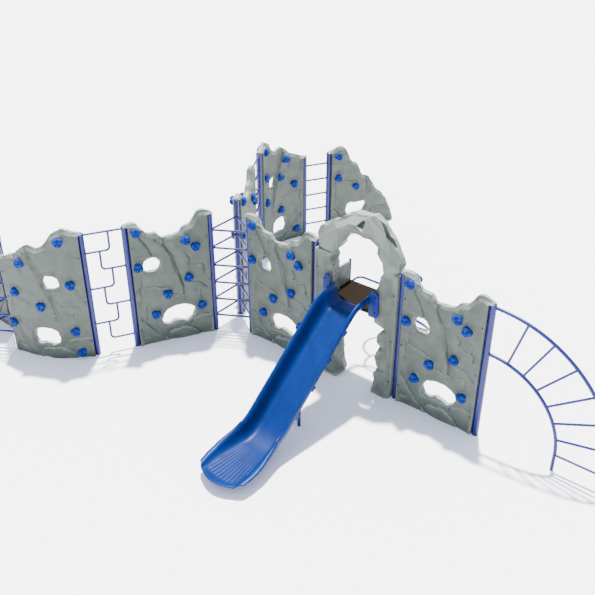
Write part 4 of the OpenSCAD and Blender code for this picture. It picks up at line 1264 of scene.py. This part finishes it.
@dataclass
class Slide:
    """The moulded slide with its rolled rails, ribbed exit, gussets and hood ears."""

    x: float = 0.7055
    width: float = 0.660
    rail: float = 0.240
    wall: float = 0.016
    start: float = 0.1103
    deck: float = 1.380
    entry: float = 0.177
    slope: float = 36.7
    bend_top: float = 0.260
    bend_low: float = 0.700
    exit_z: float = 0.150
    exit_l: float = 0.800
    ribs: int = 11

    def __post_init__(self) -> None:
        """Works out the floor line's fixed points."""
        a = math.radians(self.slope)
        self.slope_f = self.start + self.entry + self.bend_top * math.sin(a)
        self.slope_z = self.deck - self.bend_top * (1 - math.cos(a))
        self.slope_l = (
            self.slope_z - self.exit_z - self.bend_low * (1 - math.cos(a))) / math.sin(a)
        self.foot_f = self.slope_f + self.slope_l * math.cos(a) + self.bend_low * math.sin(a)
        self.tip_f = self.foot_f + self.exit_l

    def floor_line(self, t: float) -> tuple[float, float, float]:
        """Follows the floor from the entry to the tip.

        Args:
            t: Place along the floor from 0 to 1.

        Returns:
            Distance from the post line, height and slope in radians.
        """
        a = math.radians(self.slope)
        parts = [self.entry, self.bend_top * a, self.slope_l, self.bend_low * a, self.exit_l]
        run = t * sum(parts)
        if run <= parts[0]:
            return self.start + run, self.deck, 0.0
        run -= parts[0]
        if run <= parts[1]:
            b = run / self.bend_top
            return (self.start + self.entry + self.bend_top * math.sin(b),
                    self.deck - self.bend_top * (1 - math.cos(b)), b)
        run -= parts[1]
        if run <= parts[2]:
            return self.slope_f + run * math.cos(a), self.slope_z - run * math.sin(a), a
        run -= parts[2]
        if run <= parts[3]:
            b = a - run / self.bend_low
            return (self.foot_f - self.bend_low * math.sin(b),
                    self.exit_z + self.bend_low * (1 - math.cos(b)), b)
        return self.foot_f + run - parts[3], self.exit_z, 0.0

    def section(self, k: float) -> Point2:
        """Gives the section at a share of the way from the middle to the rolled edge.

        Args:
            k: From 0 in the middle to 1 at the edge.

        Returns:
            Shares of the half width and of the rail height.
        """
        knots = [
            (0, 0), (0.42, 0), (0.58, 0.05), (0.68, 0.2), (0.745, 0.45), (0.8, 0.79), (0.85, 0.94),
            (0.91, 1.0), (0.97, 0.96), (1.0, 0.84), (0.994, 0.66)]
        at = [0, 0.30, 0.42, 0.52, 0.62, 0.74, 0.81, 0.87, 0.92, 0.96, 1.0]
        i = max(0, min(len(at) - 2, int(np.searchsorted(at, k, "right")) - 1))
        u = (k - at[i]) / (at[i + 1] - at[i])
        p = [np.array(knots[max(0, min(len(knots) - 1, j))], float) for j in range(i - 1, i + 3)]
        m1 = (p[2] - p[0]) / 2
        m2 = (p[3] - p[1]) / 2
        c = (
            2 * u**3 - 3 * u**2 + 1
        ) * p[1] + (u**3 - 2 * u**2 + u) * m1 + (3 * u**2 - 2 * u**3) * p[2] + (u**3 - u**2) * m2
        return float(c[0]), max(0.0, float(c[1]))

    def rib_height(self, f: float, s: float) -> float:
        """Raises the fan of low ribs on the exit floor."""
        along = min(
            max((f - self.foot_f + 0.05) / 0.10, 0), 1
        ) * min(max((self.tip_f - 0.10 - f) / 0.06, 0), 1)
        spread = 0.62 + 0.55 * (f - self.foot_f) / self.exit_l
        gap = 0.052 * spread
        j = round(s / gap)
        if abs(j) > self.ribs // 2:
            return 0.0
        return 0.0055 * along * math.exp(-(((s - j * gap) / 0.0085) ** 2))

    def chute(self, finish: bpy.types.Material) -> None:
        """Builds the chute from one bent sheet with a wall thickness."""
        bm = bmesh.new()
        bmesh.ops.create_grid(bm, x_segments=170, y_segments=180, size=1.0)
        foot, tip = self.foot_f, self.tip_f
        half = self.width / 2
        for v in bm.verts:
            f, z, slope = self.floor_line((v.co.x + 1) / 2)
            share, lift = self.section(abs(v.co.y))
            half_w = float(np.interp(
                f, [foot - 0.2, foot + 0.35, foot + 0.6, tip],
                [half, half + 0.07, half + 0.07, half + 0.05]))
            rail = float(np.interp(
                f, [foot - 0.14, foot + 0.035, foot + 0.445, tip],
                [self.rail, 0.79 * self.rail, 0.42 * self.rail, 0.25 * self.rail]))
            s = math.copysign(share * half_w, v.co.y)
            h = lift * rail + (self.rib_height(f, s) if share < 0.6 else 0.0)
            end = ramp(np.array([f]), tip - 0.13, tip)[0]
            h += 0.030 * end * (1 - min(1.0, lift * 4)) * (1 - 0.3 * share)
            back = float(np.interp(f, [foot, tip], [0, 0.18])) * (s / half_w) ** 2
            v.co = Vector((self.x + s, -(f + h * math.sin(slope) - back), z + h * math.cos(slope)))
        bmesh.ops.recalc_face_normals(bm, faces=bm.faces)
        if sum(f.normal.z for f in bm.faces) < 0:
            bmesh.ops.reverse_faces(bm, faces=bm.faces)
        piece = finish_object("slide_chute_moulded", bm, finish)
        shell = piece.modifiers.new("wall", "SOLIDIFY")
        shell.thickness = self.wall * 0.9
        shell.offset = -1
        shell.use_even_offset = True
        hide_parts("slide_chute")

    def gussets(self, finish: bpy.types.Material) -> None:
        """Builds the moulded gussets under the rails."""
        bm = bmesh.new()
        a = math.radians(self.slope)
        for i in range(4):
            for side in (-1, 1):
                frame = Matrix.Translation(
                    (self.x + side * (self.width / 2 - 0.012), -self.slope_f, self.slope_z)
                ) @ Matrix.Rotation(a, 4, "X")
                at = frame @ Matrix.Translation(
                    (0, -(i + 0.6) * self.slope_l / 4 + 0.04, 0.53 * self.rail))
                cube = bmesh.ops.create_cube(
                    bm, size=1.0, matrix=at @ Matrix.Diagonal((0.026, 0.086, 0.060, 1)))["verts"]
                low = sorted(cube, key=lambda v: v.co.z)[:4]
                middle = sum((v.co for v in low), Vector()) / 4
                for v in low:
                    v.co = middle + (v.co - middle) * 0.55
        bmesh.ops.bevel(
            bm, geom=bm.edges[:], offset=0.006, segments=2, profile=0.5, affect="EDGES", material=-1
        )
        piece = finish_object("slide_gussets", bm, finish)

    def ears(self, blue: bpy.types.Material, violet: bpy.types.Material) -> None:
        """Builds the two hood ears, blue towards the chute and violet at their outer rim."""
        thick, low, top = 0.030, self.deck - 0.050, self.deck + 0.375
        y0 = -ARCH_HALF - FIT
        for name, outer, inner in (
            ("left", 0.250, self.x - self.width / 2 - FIT),
            ("right", ARCH - 0.276, self.x + self.width / 2 + FIT)):
            s = math.copysign(1, inner - outer)
            outline = [
                (outer, low + 0.03), (outer + s * 0.025, low), (inner, low), (inner, top - 0.06), (
                    inner - s * 0.02, top - 0.02),
                (outer + s * 0.085, top), (
                    outer + s * 0.04, top - 0.015
                ), (outer + s * 0.01, top - 0.06), (outer, top - 0.12)]
            bm = bmesh.new()
            face = bm.faces.new([bm.verts.new((x, y0, z)) for x, z in outline])
            grown = bmesh.ops.extrude_face_region(bm, geom=[face])
            moved = [v for v in grown["geom"] if isinstance(v, bmesh.types.BMVert)]
            bmesh.ops.translate(bm, vec=(0, -thick, 0), verts=moved)
            split = outer + s * 0.055
            bmesh.ops.bisect_plane(
                bm, geom=bm.verts[:] + bm.edges[:] + bm.faces[:], plane_co=(split, 0, 0),
                plane_no=(1, 0, 0))
            bmesh.ops.recalc_face_normals(bm, faces=bm.faces)
            mesh = bpy.data.meshes.new(f"slide_ear_{name}")
            for f in bm.faces:
                f.material_index = 1 if (f.calc_center_median().x - split) * s < 0 else 0
            bm.to_mesh(mesh)
            bm.free()
            mesh.materials.append(blue)
            mesh.materials.append(violet)
            piece = link_mesh(f"slide_ear_{name}", mesh, blue)
            soften(piece, 0.009, 3, 40)
            if name == "left":
                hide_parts("slide_flanges")

    def build(self, palette: Palette) -> None:
        """Builds the whole slide."""
        self.chute(palette.chute)
        self.gussets(palette.chute)
        self.ears(palette.chute, palette.hood)


# Frame solids that stay


@dataclass
class FrameFinishes:
    """Gives every solid that stays visible its finish."""

    nodes: dict[str, bpy.types.Object]
    palette: Palette

    def dress(self) -> None:
        """Assigns the finishes by the solids' names."""
        for name, node in self.nodes.items():
            finish = self.palette.tube
            if name in ("hold_bolts", "panel_bolts", "slide_bolts"):
                finish = self.palette.steel
            elif name == "deck_pan":
                finish = self.palette.deck
            elif name.startswith(("panel_", "arch_")) or name in ("barrier_left", "barrier_right"):
                finish = self.palette.rock
            elif name.startswith("holds_"):
                finish = self.palette.hold
            elif name == "slide_chute":
                finish = self.palette.chute
            node.data.materials.clear()
            node.data.materials.append(finish)


# Stage


@dataclass
class Studio:
    """The camera, the pale floor and the soft light."""

    eye: tuple[float, float, float] = (6.273, -8.332, 7.545)
    turn: tuple[float, float, float] = (58.48, 0.0, 38.5)
    lens: float = 49.81
    sun_way: tuple[float, float, float] = (0.148, -0.235, -1.0)
    sun_strength: float = 17.0
    sun_size: float = 3.0
    sky: str = "#D6DEF4"
    sky_strength: float = 2.0
    sun_tint: tuple[float, float, float] = (1.0, 0.985, 0.96)
    sensor: float = 36.0
    farthest: float = 200.0
    floor_half: float = 120.0
    floor_drop: float = 0.0005

    def camera(self) -> None:
        """Makes the camera."""
        data = bpy.data.cameras.new("camera")
        data.lens = self.lens
        data.sensor_width = self.sensor
        data.clip_end = self.farthest
        view = bpy.data.objects.new("camera", data)
        view.location = self.eye
        view.rotation_euler = [math.radians(a) for a in self.turn]
        bpy.context.scene.collection.objects.link(view)
        bpy.context.scene.camera = view

    def light(self) -> None:
        """Makes the high sun from behind and the even pale sky."""
        data = bpy.data.lights.new("sun", "SUN")
        data.energy = self.sun_strength
        data.angle = math.radians(self.sun_size)
        data.color = self.sun_tint
        sun = bpy.data.objects.new("sun", data)
        sun.rotation_euler = Vector(self.sun_way).to_track_quat("-Z", "Y").to_euler()
        bpy.context.scene.collection.objects.link(sun)
        world = bpy.data.worlds.new("sky")
        world.use_nodes = True
        back = world.node_tree.nodes["Background"]
        back.inputs["Color"].default_value = linear(self.sky)
        back.inputs["Strength"].default_value = self.sky_strength
        bpy.context.scene.world = world

    def floor(self, finish: bpy.types.Material) -> None:
        """Makes the floor."""
        bm = bmesh.new()
        bmesh.ops.create_grid(
            bm, x_segments=2, y_segments=2, size=self.floor_half,
            matrix=Matrix.Translation((0, 0, -self.floor_drop)))
        mesh = bpy.data.meshes.new("floor")
        bm.to_mesh(mesh)
        bm.free()
        mesh.materials.append(finish)
        ground = bpy.data.objects.new("floor", mesh)
        bpy.context.scene.collection.objects.link(ground)


def main() -> None:
    """Builds the wall piece by piece around the frame."""
    logging.basicConfig(level=logging.INFO, format="%(message)s")
    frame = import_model()
    studio = Studio()
    studio.camera()
    studio.light()
    palette = Palette()
    studio.floor(palette.floor)
    FrameFinishes(frame["nodes"], palette).dress()
    panels = rock_panels()
    for panel in panels:
        panel.build(palette.rock)
        LOG.info("built %s", panel.name)
        HoldSet(panel, panel.name[-1]).build(palette.hold)
    for block in arch_blocks():
        block.build(palette.rock)
        LOG.info("built %s", block.name)
    for name, x in (("barrier_left", 0.290), ("barrier_right", ARCH - 0.339)):
        Barrier(name, x).build(palette.rock)
    PostCaps().build(palette.cap)
    FlangeBolts().build(palette.zinc)
    Welds().build(palette.tube)
    Slide().build(palette)
    LOG.info("built the slide and steel work")


if __name__ == "__main__":
    main()
